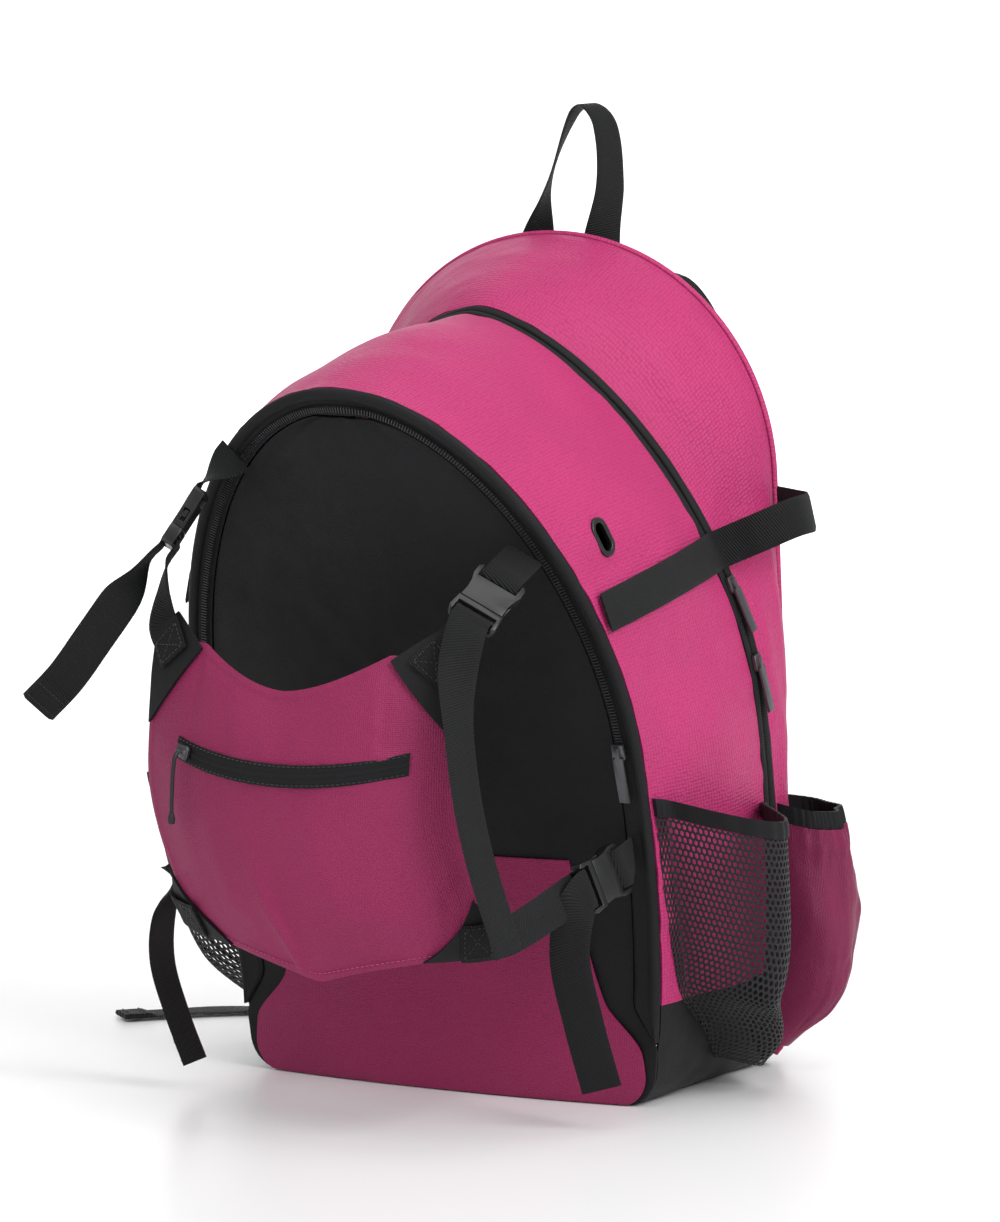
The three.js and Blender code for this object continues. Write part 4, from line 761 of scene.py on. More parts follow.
class Recipe:
    """A node material under construction."""

    def __init__(self, name):
        self.material = bpy.data.materials.get(name) or bpy.data.materials.new(name)
        self.material.use_nodes = True
        self.tree = self.material.node_tree
        self.tree.nodes.clear()
        self.output = self.tree.nodes.new("ShaderNodeOutputMaterial")
        self.uv = self.add("ShaderNodeUVMap", settings=dict(uv_map="Cloth")).outputs["UV"]

    def add(self, kind, settings=None, **inputs):
        """Adds a node, with its settings and its inputs as values or links."""
        node = self.tree.nodes.new(kind)
        for key, value in (settings or {}).items():
            setattr(node, key, value)
        for key, value in inputs.items():
            socket = node.inputs[int(key[1:])] if key[0] == "_" else node.inputs[key.replace("_", " ")]
            if isinstance(value, bpy.types.NodeSocket):
                self.tree.links.new(value, socket)
            else:
                socket.default_value = value
        return node

    def math(self, operation, a, b=0.0, c=0.0):
        """A math node's result."""
        return self.add("ShaderNodeMath", dict(operation=operation), _0=a, _1=b, _2=c).outputs[0]

    def scaled(self, x, y):
        """Cloth coordinates multiplied per axis."""
        return self.add(
            "ShaderNodeVectorMath", dict(operation="MULTIPLY"), _0=self.uv, _1=(x, y, 1.0),
        ).outputs[0]

    def noise(self, vector, scale, detail=2.0, roughness=0.5):
        """A noise texture's value."""
        return self.add(
            "ShaderNodeTexNoise", Vector=vector, Scale=scale, Detail=detail, Roughness=roughness,
        ).outputs[0]

    def blend(self, factor, a, b):
        """A colour between two."""
        node = self.add("ShaderNodeMix", dict(data_type="RGBA"), _0=factor)
        for socket, value in ((node.inputs[6], a), (node.inputs[7], b)):
            if isinstance(value, bpy.types.NodeSocket):
                self.tree.links.new(value, socket)
            else:
                socket.default_value = (*value, 1.0)
        return node.outputs[2]

    def bump(self, height, strength, distance, normal=None):
        """A bump over the surface or over another bump."""
        node = self.add("ShaderNodeBump", Strength=strength, Distance=distance, Height=height)
        if normal is not None:
            self.tree.links.new(normal, node.inputs["Normal"])
        return node.outputs[0]

    def surface(self, **inputs):
        """The principled surface that ends the recipe."""
        shader = self.add("ShaderNodeBsdfPrincipled", **inputs)
        self.tree.links.new(shader.outputs[0], self.output.inputs[0])
        return self.material


def object_place(recipe):
    """Coordinates in the piece's own space."""
    return recipe.add("ShaderNodeTexCoord").outputs["Object"]


def ripstop_material(name, colour, deep, pebble, sheen, roughness):
    """Coated ripstop: a fine pebbled weave with soft creases and slight changes of shade."""
    recipe = Recipe(name)
    cells = recipe.add(
        "ShaderNodeTexVoronoi", dict(feature="F1", voronoi_dimensions="2D"),
        Vector=recipe.scaled(1 / pebble, 0.8 / pebble),
        Scale=1.0, Randomness=0.35,
    ).outputs["Distance"]
    place = object_place(recipe)
    crumple = recipe.noise(place, 38.0, 4.0, 0.55)
    wave = recipe.noise(place, 11.0, 2.0, 0.5)
    shade = recipe.math("MULTIPLY_ADD", cells, -1.0, recipe.math("MULTIPLY_ADD", wave, 0.6, 0.68))
    tint = recipe.blend(recipe.math("MINIMUM", recipe.math("MAXIMUM", shade, 0.0), 1.0), deep, colour)
    relief = recipe.bump(cells, 0.7, 0.0009)
    relief = recipe.bump(crumple, 0.6, 0.0026, relief)
    gloss = recipe.math("MULTIPLY_ADD", crumple, 0.18, roughness - 0.09)
    return recipe.surface(
        Base_Color=tint, Roughness=gloss, Normal=relief, Sheen_Weight=sheen, Sheen_Roughness=0.45,
        Specular_IOR_Level=0.26,
    )


def plain_cloth_material(name, colour, light, thread, roughness, sheen):
    """Plain woven cloth with creases."""
    recipe = Recipe(name)
    warp = recipe.add(
        "ShaderNodeTexWave", dict(wave_type="BANDS", bands_direction="X"),
        Vector=recipe.scaled(1 / thread, 1 / thread),
        Scale=0.16, Distortion=0.6, Detail=1.0,
    ).outputs["Fac"]
    weft = recipe.add(
        "ShaderNodeTexWave", dict(wave_type="BANDS", bands_direction="Y"),
        Vector=recipe.scaled(1 / thread, 1 / thread),
        Scale=0.16, Distortion=0.6, Detail=1.0,
    ).outputs["Fac"]
    weave = recipe.math("MULTIPLY", warp, weft)
    place = object_place(recipe)
    crumple = recipe.noise(place, 30.0, 4.0, 0.55)
    dust = recipe.noise(place, 9.0, 3.0, 0.6)
    tint = recipe.blend(
        recipe.math("MULTIPLY_ADD", weave, 0.35, recipe.math("MULTIPLY", dust, 0.5)), colour, light,
    )
    relief = recipe.bump(weave, 0.35, 0.0003)
    relief = recipe.bump(crumple, 0.45, 0.0025, relief)
    gloss = recipe.math("MULTIPLY_ADD", crumple, 0.2, roughness - 0.1)
    return recipe.surface(
        Base_Color=tint, Roughness=gloss, Normal=relief, Sheen_Weight=sheen, Sheen_Roughness=0.5,
        Specular_IOR_Level=0.2,
    )


def webbing_material(name, colour, light, rib):
    """Webbing with slanted ribs across its width and lighter worn edges."""
    recipe = Recipe(name)
    parts = recipe.add("ShaderNodeSeparateXYZ", Vector=recipe.uv)
    along, across = parts.outputs[0], parts.outputs[1]
    slanted = recipe.math("MULTIPLY_ADD", across, 0.3, along)
    ribs = recipe.math("SINE", recipe.math("MULTIPLY", slanted, 2 * math.pi / rib))
    yarns = recipe.math("SINE", recipe.math("MULTIPLY", across, 2 * math.pi / (rib * 0.9)))
    relief_height = recipe.math("MULTIPLY_ADD", yarns, 0.15, ribs)
    place = object_place(recipe)
    wear = recipe.noise(place, 60.0, 3.0, 0.6)
    edge = recipe.math("MULTIPLY", recipe.math("ABSOLUTE", across), 1 / 0.0125)
    edge = recipe.math("POWER", edge, 8.0)
    factor = recipe.math(
        "MULTIPLY_ADD", ribs, 0.2,
        recipe.math("MULTIPLY_ADD", wear, 0.35, recipe.math("MULTIPLY", edge, 0.12))
    )
    tint = recipe.blend(recipe.math("MAXIMUM", factor, 0.0), colour, light)
    relief = recipe.bump(relief_height, 0.55, 0.0005)
    relief = recipe.bump(wear, 0.15, 0.0008, relief)
    return recipe.surface(
        Base_Color=tint, Roughness=0.7, Normal=relief, Sheen_Weight=0.03, Sheen_Roughness=0.4,
        Specular_IOR_Level=0.22,
    )


def moulded_material(name, colour, roughness, metallic=0.0, grain=900.0):
    """Moulded plastic or coated metal with a fine grain and rubbed edges."""
    recipe = Recipe(name)
    place = object_place(recipe)
    fine = recipe.noise(place, grain, 2.0, 0.5)
    rub = recipe.noise(place, 55.0, 4.0, 0.6)
    tint = recipe.blend(
        recipe.math("MULTIPLY", rub, 0.5), colour, tuple(min(c * 2.2 + 0.01, 1) for c in colour)
    )
    relief = recipe.bump(fine, 0.12, 0.0002)
    gloss = recipe.math("MULTIPLY_ADD", rub, 0.22, roughness - 0.11)
    return recipe.surface(Base_Color=tint, Roughness=gloss, Normal=relief, Metallic=metallic)


def floor_material(name, colour):
    """A pale studio floor with a faint mottling."""
    recipe = Recipe(name)
    place = object_place(recipe)
    mottle = recipe.noise(place, 3.0, 2.0, 0.5)
    tint = recipe.blend(recipe.math("MULTIPLY", mottle, 0.06), colour, tuple(c * 0.93 for c in colour))
    return recipe.surface(Base_Color=tint, Roughness=0.34, Specular_IOR_Level=0.35)


def make_materials(finish):
    """All materials of the bag."""
    pink, black = tuple(finish.pink), tuple(finish.black)
    deep = tuple(c * 0.6 for c in pink)
    light = tuple(c * 2.2 + 0.004 for c in black)
    ripstop_material("pink_ripstop", pink, deep, finish.pebble, 0.02, 0.5)
    # pink_flap_cloth is the pink ripstop darkened to two thirds: painted shade on the flap and the lower
    # front panel, which are the same cloth as the gussets
    for name, share, pebble, roughness in (
        ("pink_flap_cloth", 0.66, 0.5, 0.5), ("pink_sleeve_cloth", 0.5, 0.35, 0.34),
    ):
        shade, shade_deep = (tuple(c * share for c in colour) for colour in (pink, deep))
        ripstop_material(name, shade, shade_deep, finish.pebble * pebble, 0.02, roughness)
    plain_cloth_material("black_cloth", black, light, 0.0007, 0.62, 0.02)
    plain_cloth_material("padding_cloth", black, light, 0.0012, 0.75, 0.05)
    plain_cloth_material("zip_tape", tuple(c * 0.9 for c in black), light, 0.0009, 0.65, 0.02)
    plain_cloth_material(
        "net_yarn", tuple(c * 1.6 + 0.004 for c in black), tuple(c * 4 + 0.012 for c in black), 0.0006, 0.55,
        0.03
    )
    webbing_material("webbing_weave", black, light, 0.0017)
    moulded_material("black_plastic", tuple(c * 0.8 for c in black), 0.32)
    moulded_material("coil_nylon", tuple(c * 2.4 + 0.004 for c in black), 0.3, 0.0, 400.0)
    moulded_material("coated_metal", (0.09, 0.09, 0.095), 0.34, 0.85)
    moulded_material("pull_cord", tuple(c * 0.9 for c in black), 0.55, 0.0, 1500.0)
    plain_cloth_material("black_thread", tuple(c * 1.5 + 0.008 for c in black), light, 0.0003, 0.6, 0.3)
    plain_cloth_material("pink_thread", tuple(c * 0.8 + 0.02 for c in pink), pink, 0.0003, 0.6, 0.3)
    floor_material("studio_floor", tuple(finish.floor))


# Making the pieces


def gusset_relief(u, v, low, high, seed):
    """Soft folds and seam puckers of a gusset, on top of the dents of its form."""
    along = u * 1.15
    span = np.linalg.norm(ruled(u, high) - ruled(u, low), axis=-1)
    from_low, from_high = (v - low) * span, (high - v) * span
    near = np.minimum(from_low, from_high)
    fade = ramp(near / 0.010)
    folds = 0.0019 * soft_noise(along * 7 + v * 1.7, v * 2.6 + along * 2, seed)
    folds += 0.0009 * soft_noise(along * 21 - v * 2.5, v * 5, seed + 1)
    folds += 0.00035 * soft_noise(along * 60, v * 14, seed + 2)
    pucker = 0.0009 * soft_noise(along * 95, v * 3, seed + 3) * np.exp(-near / 0.012)
    ends = ramp(np.minimum(u, 1 - u) / 0.08)
    return (folds * fade + pucker * ramp(near / 0.003)) * mix(0.35, 1, ends)


def make_gussets(steps):
    """The pink walls between the arches."""
    pieces = []
    rows = (
        dict(name="front_gusset", low=0.0, high=1.0, after=FRONT_SEAM, before=ZIP_HALF + GAP, seed=11),
        dict(name="rear_gusset", low=1.0, high=2.0, after=ZIP_HALF + GAP, before=GAP, seed=23),
    )
    for row in rows:
        u = arc_span(np.linspace(0, 1, steps))[:, None]
        b = np.linspace(0, 1, max(steps // 8, 8))[None, :]
        v = mix(behind(u, row["low"], row["after"]), behind(u, row["high"], -row["before"]), b)
        u = u + 0 * v
        relief = gusset_relief(u, v, np.full(u.shape, row["low"]), np.full(u.shape, row["high"]), row["seed"])
        piece = shell(f"{row['name']}_cloth", skin(u, v, relief), skin(u, v, relief - CLOTH))
        if row["name"] == "front_gusset":
            cut_eyelet(piece)
        pieces.append(settle(piece, "pink_ripstop", "pink_ripstop", row["name"]))
    return pieces


EYELET_HEIGHT = 0.666
EYELET_U = float(FRONT.share_at(HEIGHT * EYELET_HEIGHT))
EYELET_V = 0.275
EYELET_RIM = 0.0015


def cut_eyelet(piece):
    """Opens the cloth inside the eyelet."""
    u, v = np.array(EYELET_U), np.array(EYELET_V)
    normal = unit(skin(u, v, 0.001) - skin(u, v, 0.0))
    up = unit(skin(u + 0.01, v) - skin(u - 0.01, v))
    matrix = frame_at(skin(u, v, -CLOTH / 2), up, normal)
    r = EYELET_WIDTH / 2 - EYELET_RIM
    h = EYELET_LENGTH / 2 - EYELET_WIDTH / 2
    turn = np.linspace(0, 2 * math.pi, 48, endpoint=False)
    oval = np.stack([r * np.cos(turn), r * np.sin(turn) + h * np.sign(np.sin(turn)), 0 * turn], -1)
    rings = np.stack([
        np.array([matrix[:3, :3] @ (p + (0, 0, z)) + matrix[:3, 3] for p in oval]) for z in (-0.02, 0.02)
    ])
    cutter = tube("eyelet_opening", rings)
    modifier = piece.modifiers.new("Eyelet", "BOOLEAN")
    modifier.operation = "DIFFERENCE"
    modifier.solver = "EXACT"
    modifier.object = cutter
    applied(piece)
    piece.data.polygons.foreach_set("use_smooth", [True] * len(piece.data.polygons))
    piece.data.set_sharp_from_angle(angle=math.radians(35))
    bpy.data.objects.remove(cutter)


COIL_FOOT = 0.238
FRONT_COIL_PITCH = 0.0021
MAIN_COIL_PITCH = 0.0019
# A tooth's width, length and height
FRONT_COIL = (0.0044, 0.0012, 0.0017)
MAIN_COIL = (0.0028, 0.0011, 0.0008)


def make_zips(steps):
    """The bands of the main zip and the front zip, with their coils."""
    u = arc_span(np.linspace(0, 1, steps))[:, None]
    c = np.linspace(-1, 1, 21)[None, :]
    v = behind(u, 1.0, c * ZIP_HALF)
    uu = u + 0 * v
    welt = 0.25 + 0.85 * np.maximum(1 - np.abs(2 * np.abs(c) - 1) ** 3, 0) - 1.0 * np.exp(-(c / 0.13) ** 2)
    wobble = 0.0002 * soft_noise(uu * 60, c * 3 + 0 * uu, 5)
    band = shell("main_zip_band", skin(uu, v, ZIP_RISE * welt + wobble), skin(uu, v, -CLOTH))
    pieces = [settle(band, "trim", "zip_tape", "main_zip")]

    b = np.linspace(0, 1, 31)[None, :]
    uu, bb = np.broadcast_arrays(zip_span(np.linspace(0, 1, steps))[:, None], b)
    inset = bb * (face_inset(np.minimum(uu, 1 - uu)) - SEAM_STEP)
    height = FRONT.at(uu)[..., 2]
    covered = ramp((COIL_FOOT - height) / 0.012)
    piping = np.maximum(1 - np.abs((bb - 0.22) / 0.22) ** 2.4, 0) * 2.0
    coil = np.maximum(1 - np.abs((bb - 0.74) / 0.13) ** 4, 0) * 1.2
    cover = 1.5 * np.maximum(1 - np.abs((bb - 0.62) / 0.36) ** 6, 0) + 0.35 * soft_noise(uu * 70, bb * 3, 6)
    rise = ZIP_RISE * (0.25 + mix(piping + coil, np.maximum(piping, cover), covered))
    band = shell("front_zip_band", face_edge(uu, inset, rise), face_edge(uu, inset, -CLOTH))
    pieces.append(settle(band, "trim", "zip_tape", "front_zip"))

    foot = float(FRONT.share_at(COIL_FOOT))
    count = int(FRONT.length * (1 - 2 * foot) / FRONT_COIL_PITCH)
    at = mix(foot, 1 - foot, (np.arange(count) + 0.5) / count)
    centre = face_edge(at, FRONT_ZIP_WIDTH * 0.74, ZIP_RISE * 1.6)
    way = FRONT.tangent(at)
    up = face_normal(centre[:, 2])
    pieces.append(settle(
        bars("front_zip_coil", centre, unit(np.cross(way, up)), way, up, FRONT_COIL), "trim", "coil_nylon",
    ))
    count = int(MAIN.length * (1 - 2 * BASE_SHARE) / MAIN_COIL_PITCH)
    at = arc_span((np.arange(count) + 0.5) / count)
    one = np.ones(count)
    centre = skin(at, one, ZIP_RISE * 0.2)
    way = MAIN.tangent(at)
    up = unit(skin(at, one, 0.001) - skin(at, one, 0.0))
    pieces.append(settle(
        bars("main_zip_coil", centre, unit(np.cross(way, up)), way, up, MAIN_COIL), "trim", "coil_nylon",
    ))
    return pieces


def bars(name, centres, across, way, up, size):
    """Small rounded bars at many places, such as the teeth of a coil or stitches, as one mesh."""
    width, length, height = (s / 2 for s in size)
    corners = np.array([
        (-1, -0.5, -1), (1, -0.5, -1), (1, 0.5, -1), (-1, 0.5, -1),
        (-1, -1, 0), (1, -1, 0), (1, 1, 0), (-1, 1, 0),
        (-0.8, -0.5, 1), (0.8, -0.5, 1), (0.8, 0.5, 1), (-0.8, 0.5, 1),
    ])
    quads = np.array([
        (3, 2, 1, 0), (8, 9, 10, 11),
        (0, 1, 5, 4), (1, 2, 6, 5), (2, 3, 7, 6), (3, 0, 4, 7),
        (4, 5, 9, 8), (5, 6, 10, 9), (6, 7, 11, 10), (7, 4, 8, 11),
    ])
    points = (
        centres[:, None] + across[:, None] * (corners[:, 0] * width)[None, :, None]
        + way[:, None] * (corners[:, 1] * length)[None, :, None]
        + up[:, None] * (corners[:, 2] * height)[None, :, None]
    )
    faces = quads[None] + (np.arange(len(centres)) * len(corners))[:, None, None]
    flip = np.linalg.det(np.stack([across[0], way[0], up[0]])) < 0
    faces = faces.reshape(-1, 4)
    uvs = np.tile(corners[:, :2] * 0.001, (len(centres), 1))
    return mesh_object(name, points.reshape(-1, 3), faces[:, ::-1] if flip else faces, uvs, 60)


def make_base(steps):
    """The black pan under the bag, which turns up at both sides."""
    k = np.linspace(0, 1, steps)[:, None]
    b = np.linspace(0, 1, steps)[None, :]
    v = mix(behind(np.array(0.0), 0.0, FRONT_SEAM), behind(np.array(0.0), 2.0, -GAP), b)
    kk, vv = np.broadcast_arrays(k, v)
    u = BASE_SHARE * (1 - kk) ** 1.4
    fold = 0.0012 * soft_noise(kk * 7 + vv * 4, vv * 6, 31) * np.sin(math.pi * np.clip(kk, 0, 1))

    def pan(lift):
        """The pan's cloth from the right wall over the floor to the left wall."""
        right = skin(u, vv, lift + fold)
        right[..., 2] = np.maximum(right[..., 2], -lift)
        right[-1, :, 2] = -lift
        floor_k = np.linspace(0, 1, 24)[1:-1, None]
        across = mix(right[-1, :, 0][None], -right[-1, :, 0][None], floor_k)
        floor = np.stack(np.broadcast_arrays(across, right[-1, :, 1][None], np.full((1, 1), -lift)), -1)
        left = right[::-1] * (-1, 1, 1)
        return np.concatenate([right, floor, left])

    outer, inner = pan(0.0), pan(-CLOTH)
    return [settle(shell("base_cloth", outer, inner), "black_cloth", "black_cloth", "base")]


def make_face(steps):
    """The black face panel and the pink pocket panel over its foot."""
    a = np.linspace(0, 1, steps)[:, None]
    s = 1 - 2 * np.linspace(0, 1, steps // 2)[None, :]
    u = mix(float(FRONT.share_at(2 * GAP)), 0.478, a ** 1.1)
    uu, ss = np.broadcast_arrays(u, s)
    inset = face_inset(uu)
    fold = 0.0013 * soft_noise(ss * 3, uu * 22, 41) + 0.0006 * soft_noise(ss * 9, uu * 60, 42)
    fold = fold * ramp((1 - np.abs(ss)) / 0.12)
    outer = face_point(uu, ss, inset, fold)
    piece = shell("front_panel_cloth", outer, face_point(uu, ss, inset, fold - CLOTH))
    pieces = [settle(piece, "black_cloth", "black_cloth", "front_panel")]
    a = np.linspace(0, 1, steps // 2)[:, None]
    aa, ss = np.broadcast_arrays(a, s)
    u = mix(float(FRONT.share_at(2 * GAP)), float(FRONT.share_at(PANEL_HEIGHT)), aa)
    side = ss * look_up(PANEL_SIDES, "width", aa)
    fullness = 0.005 * np.sin(math.pi * aa) * (1 - ss ** 4)
    fold = 0.0011 * soft_noise(ss * 5 + aa * 2, aa * 6, 43) * ramp(np.minimum(aa, 1 - aa) / 0.1)
    lift = GAP + fullness + np.maximum(fold, -GAP) + 0.0002
    inset = face_inset(u)
    outer, inner = face_point(u, side, inset, lift + CLOTH), face_point(u, side, inset, lift)
    # The lower front panel takes the pink ripstop darkened by painted shade
    pieces.append(
        settle(shell("lower_front_panel_cloth", outer, inner), "pink_ripstop", "pink_flap_cloth",
        "lower_front_panel")
    )
    return pieces


def make_back(steps):
    """The padded back panel and the piping round it."""
    t = np.linspace(0.012, 0.988, steps * 2)
    path = BACK.at(t) + (0, PIPING_RADIUS + GAP, 0)
    piping = tube("back_piping_cord", round_path(path, PIPING_RADIUS, 12))
    pieces = [settle(piping, "pink_ripstop", "pink_ripstop", "back_piping")]
    a = np.linspace(0, 1, steps)[:, None]
    s = 1 - 2 * np.linspace(0, 1, steps // 2)[None, :]
    aa, ss = np.broadcast_arrays(a, s)
    edge = BACK.at(mix(float(BACK.share_at(0.003)), 0.474, aa))
    rim, ends = 1 - ss ** 6, ramp(np.minimum(aa, 1 - aa) * 9)
    channel = 0.0022 * (np.exp(-((ss - 0.34) / 0.03) ** 2) + np.exp(-((ss + 0.34) / 0.03) ** 2)) * ends
    pad = mix(CLOTH, PADDING, rim * ends) + PADDING * 0.5 * (1 - ss * ss) * ends - channel
    inset = 1 - 2 * (PIPING_RADIUS + GAP) / np.maximum(edge[..., 0], (PIPING_RADIUS + GAP) * 12)
    z = edge[..., 2] - np.maximum(aa - 0.9, 0) * 0.060

    def face(lift):
        """The panel's cloth some distance off the back."""
        return np.stack([edge[..., 0] * ss * inset, edge[..., 1] + GAP + lift, z], -1)

    panel = settle(
        shell("back_panel_padding", face(pad), face(0 * pad)), "padding_cloth", "padding_cloth", "back_panel",
    )
    return pieces + [panel]


def pocket_table(pocket, sign, rows=70, columns=160):
    """A pocket's cloth laid out flat: points over height rows and distances from its middle line."""
    hem_share = HEM_HEIGHT / (pocket["top"] - pocket["floor"])
    t = np.linspace(0, 1 - hem_share, rows)[:, None]
    across = np.linspace(0, 1, columns)[None, :]
    grid = pocket_point(pocket, sign, *np.broadcast_arrays(t, across), lift=CLOTH / 2)
    steps = np.linalg.norm(np.diff(grid, axis=1), axis=-1)
    reach = np.concatenate([np.zeros((rows, 1)), np.cumsum(steps, axis=1)], axis=1)
    reach -= reach[:, columns * 2 // 5][:, None]
    heights = np.concatenate(
        [[0], np.cumsum(np.linalg.norm(np.diff(grid[:, columns // 2], axis=0), axis=-1))],
    )
    return grid, reach, heights


def make_net(name, pocket, sign, cell_width, cell_height, strand):
    """A pocket of knitted net: six-sided openings between flat strands."""
    grid, reach, heights = pocket_table(pocket, sign)
    rows, columns = reach.shape
    spread = np.linspace(reach.min(), reach.max(), columns * 2)
    laid = np.stack([
        np.stack([np.interp(spread, reach[i], grid[i, :, k]) for k in range(3)], -1) for i in range(rows)
    ])

    def on_cloth(x, y):
        """Points of the bag at places of the flat cloth."""
        fi = np.interp(y, heights, np.arange(rows))
        fj = np.interp(x, spread, np.arange(len(spread)))
        i, j = np.minimum(fi.astype(int), rows - 2), np.minimum(fj.astype(int), len(spread) - 2)
        a, b = (fi - i)[:, None], (fj - j)[:, None]
        return mix(mix(laid[i, j], laid[i, j + 1], b), mix(laid[i + 1, j], laid[i + 1, j + 1], b), a)

    across = int((spread[-1] - spread[0]) / cell_width) + 2
    up = int(heights[-1] / (cell_height * 0.75)) + 2
    corners = np.array([(0, -0.5), (0.5, -0.25), (0.5, 0.25), (0, 0.5), (-0.5, 0.25), (-0.5, -0.25)])
    centres = []
    for r in range(up):
        for c in range(across):
            x = spread[0] + (c + 0.5 * (r % 2)) * cell_width
            y = r * cell_height * 0.75
            left = np.interp(y, heights, reach[:, 0]) - cell_width * 0.3
            right = np.interp(y, heights, reach[:, -1]) + cell_width * 0.3
            if y - cell_height * 0.3 < heights[-1] and left < x < right:
                centres.append((x, y))
    centres = np.array(centres)
    outer = centres[:, None] + corners[None] * (cell_width, cell_height)
    inner = centres[:, None] + corners[None] * (cell_width - strand * 1.2, cell_height - strand * 1.6)
    outer[..., 1] = np.clip(outer[..., 1], 0, heights[-1])
    inner[..., 1] = np.clip(inner[..., 1], 0, heights[-1])
    keys = np.round(outer.reshape(-1, 2) / 2e-5).astype(int)
    unique, back = np.unique(keys, axis=0, return_inverse=True)
    back = back.ravel()
    first = np.zeros(len(unique), int)
    first[back] = np.arange(len(back))
    flat = np.concatenate([outer.reshape(-1, 2)[first], inner.reshape(-1, 2)])
    points = on_cloth(flat[:, 0], flat[:, 1])
    step = 0.0008
    tangent = on_cloth(flat[:, 0] + step, flat[:, 1]) - on_cloth(flat[:, 0] - step, flat[:, 1])
    rise = on_cloth(flat[:, 0], flat[:, 1] + step) - on_cloth(flat[:, 0], flat[:, 1] - step)
    normal = unit(np.cross(tangent, rise) + 1e-9)
    half = strand * 0.3
    count = len(points)
    both = np.concatenate([points + normal * half, points - normal * half])
    cells = len(centres)
    o = back.reshape(cells, 6)
    n = (len(first) + np.arange(cells * 6)).reshape(cells, 6)
    on, nn = np.roll(o, -1, axis=1), np.roll(n, -1, axis=1)
    front = np.stack([o, on, nn, n], -1).reshape(-1, 4)
    rear = front[:, ::-1] + count
    inside = np.stack([n, nn, nn + count, n + count], -1).reshape(-1, 4)
    edges = np.stack([o, on], -1).reshape(-1, 2)
    sorted_edges = np.sort(edges, axis=1)
    _, place, times = np.unique(sorted_edges, axis=0, return_index=True, return_counts=True)
    rim = edges[place[times == 1]]
    rim = rim[rim[:, 0] != rim[:, 1]]
    border = np.stack([rim[:, 1], rim[:, 0], rim[:, 0] + count, rim[:, 1] + count], -1)
    faces = np.concatenate([front, rear, inside, border])
    distinct = [len(set(f)) == 4 for f in faces.tolist()]
    uvs = np.concatenate([flat, flat])
    return mesh_object(name, both, outward(both, faces[np.array(distinct)]), uvs, 70)


def make_pockets(steps, cell_width, cell_height, strand):
    """The net bottle pockets, the bat sleeves and their hems."""
    pieces = []
    for name, pocket in POCKETS.items():
        hem_share = HEM_HEIGHT / (pocket["top"] - pocket["floor"])
        gap_t = GAP / (pocket["top"] - pocket["floor"])
        for side, sign in SIDES:
            if name == "bottle_pocket":
                net = make_net(f"bottle_pocket_net_{side}", pocket, sign, cell_width, cell_height, strand)
                pieces.append(settle(net, "mesh", "net_yarn", f"{name}_{side}"))
            else:
                t = np.linspace(0, 1, steps)[:, None] * (1 - hem_share)
                across = np.linspace(0, 1, steps)[None, :]
                tt, aa = np.broadcast_arrays(t, across)
                body = ramp(np.minimum(aa, 1 - aa) / 0.08)
                pleat = 0.0013 * np.sin(
                    aa * math.pi * 26 + 2 * soft_noise(aa * 9, tt * 3, 51),
                ) * ramp((tt - 0.72) / 0.2)
                fold = 0.0022 * soft_noise(
                    aa * 4, tt * 5 + aa * 2, 52,
                ) + 0.0008 * soft_noise(aa * 12, tt * 14, 53)
                fold = fold + 0.0011 * soft_noise(aa * 26, tt * 3.5, 54)
                relief = (pleat + fold * ramp(tt / 0.15)) * body
                outer = pocket_point(pocket, sign, tt, aa, CLOTH + relief)
                inner = pocket_point(pocket, sign, tt, aa, relief)
                pieces.append(
                    settle(shell(f"{name}_cloth_{side}", outer, inner), "pink_ripstop", "pink_sleeve_cloth",
                    f"{name}_{side}")
                )
            t = mix(1 - hem_share + gap_t, 1, np.linspace(0, 1, 9))[:, None]
            across = np.linspace(0, 1, steps * 2)[None, :]
            tt, aa = np.broadcast_arrays(t, across)
            body = ramp(np.minimum(aa, 1 - aa) / 0.05)
            gather = 0.0005 * np.sin(aa * math.pi * (60 if name == "bat_sleeve" else 40)) * body
            shift = -(HEM_THICK - CLOTH) / 2
            round_ = np.sin(math.pi * np.linspace(0, 1, 9))[:, None] ** 0.4 * 0.0004
            outer = pocket_point(pocket, sign, tt, aa, HEM_THICK + shift + gather + round_)
            inner = pocket_point(pocket, sign, tt, aa, shift + gather - round_)
            pieces.append(
                settle(shell(f"{name}_binding_{side}", outer, inner), "black_cloth", "black_cloth",
                f"{name}_hem_{side}")
            )
    return pieces


def make_bat_straps():
    """The webbing loops that hold bats against the sides."""
    pieces = []
    for side, sign in SIDES:
        v = np.linspace(BAT_STRAP[0]["t"], BAT_STRAP[-1]["t"], 19)
        lift = np.maximum(look_up(BAT_STRAP, "lift", v), 0) * BAT_LOOP
        u = side_share(sign, share_at_height(BAT_STRAP_FOOT + BAT_STRAP_RISE * v / 2, v))
        points = skin(u, v, ZIP_RISE + 3 * GAP + WEBBING / 2 + lift)
        acrosses = unit(skin(u + 0.01, v) - skin(u - 0.01, v))
        piece, line = ribbon(f"bat_strap_webbing_{side}", points, acrosses, WEBBING_WIDTH, WEBBING)
        pieces.append(settle(piece, "webbing", "webbing_weave", f"bat_strap_{side}"))
        pieces.append(box_stitch(f"bat_strap_stitching_{side}", line, 4, 9))
    return pieces


STITCH_PITCH = 0.0032
ROW_PITCH = 0.0034
END_PITCH = 0.0026
THREAD_WIDTH = 0.0006
THREAD_HEIGHT = 0.0005
BOX_INSET = 0.0025
END_INSET = 0.002
STITCH_LIFT = 0.0002
END_ROWS = (0.004, 0.0165)


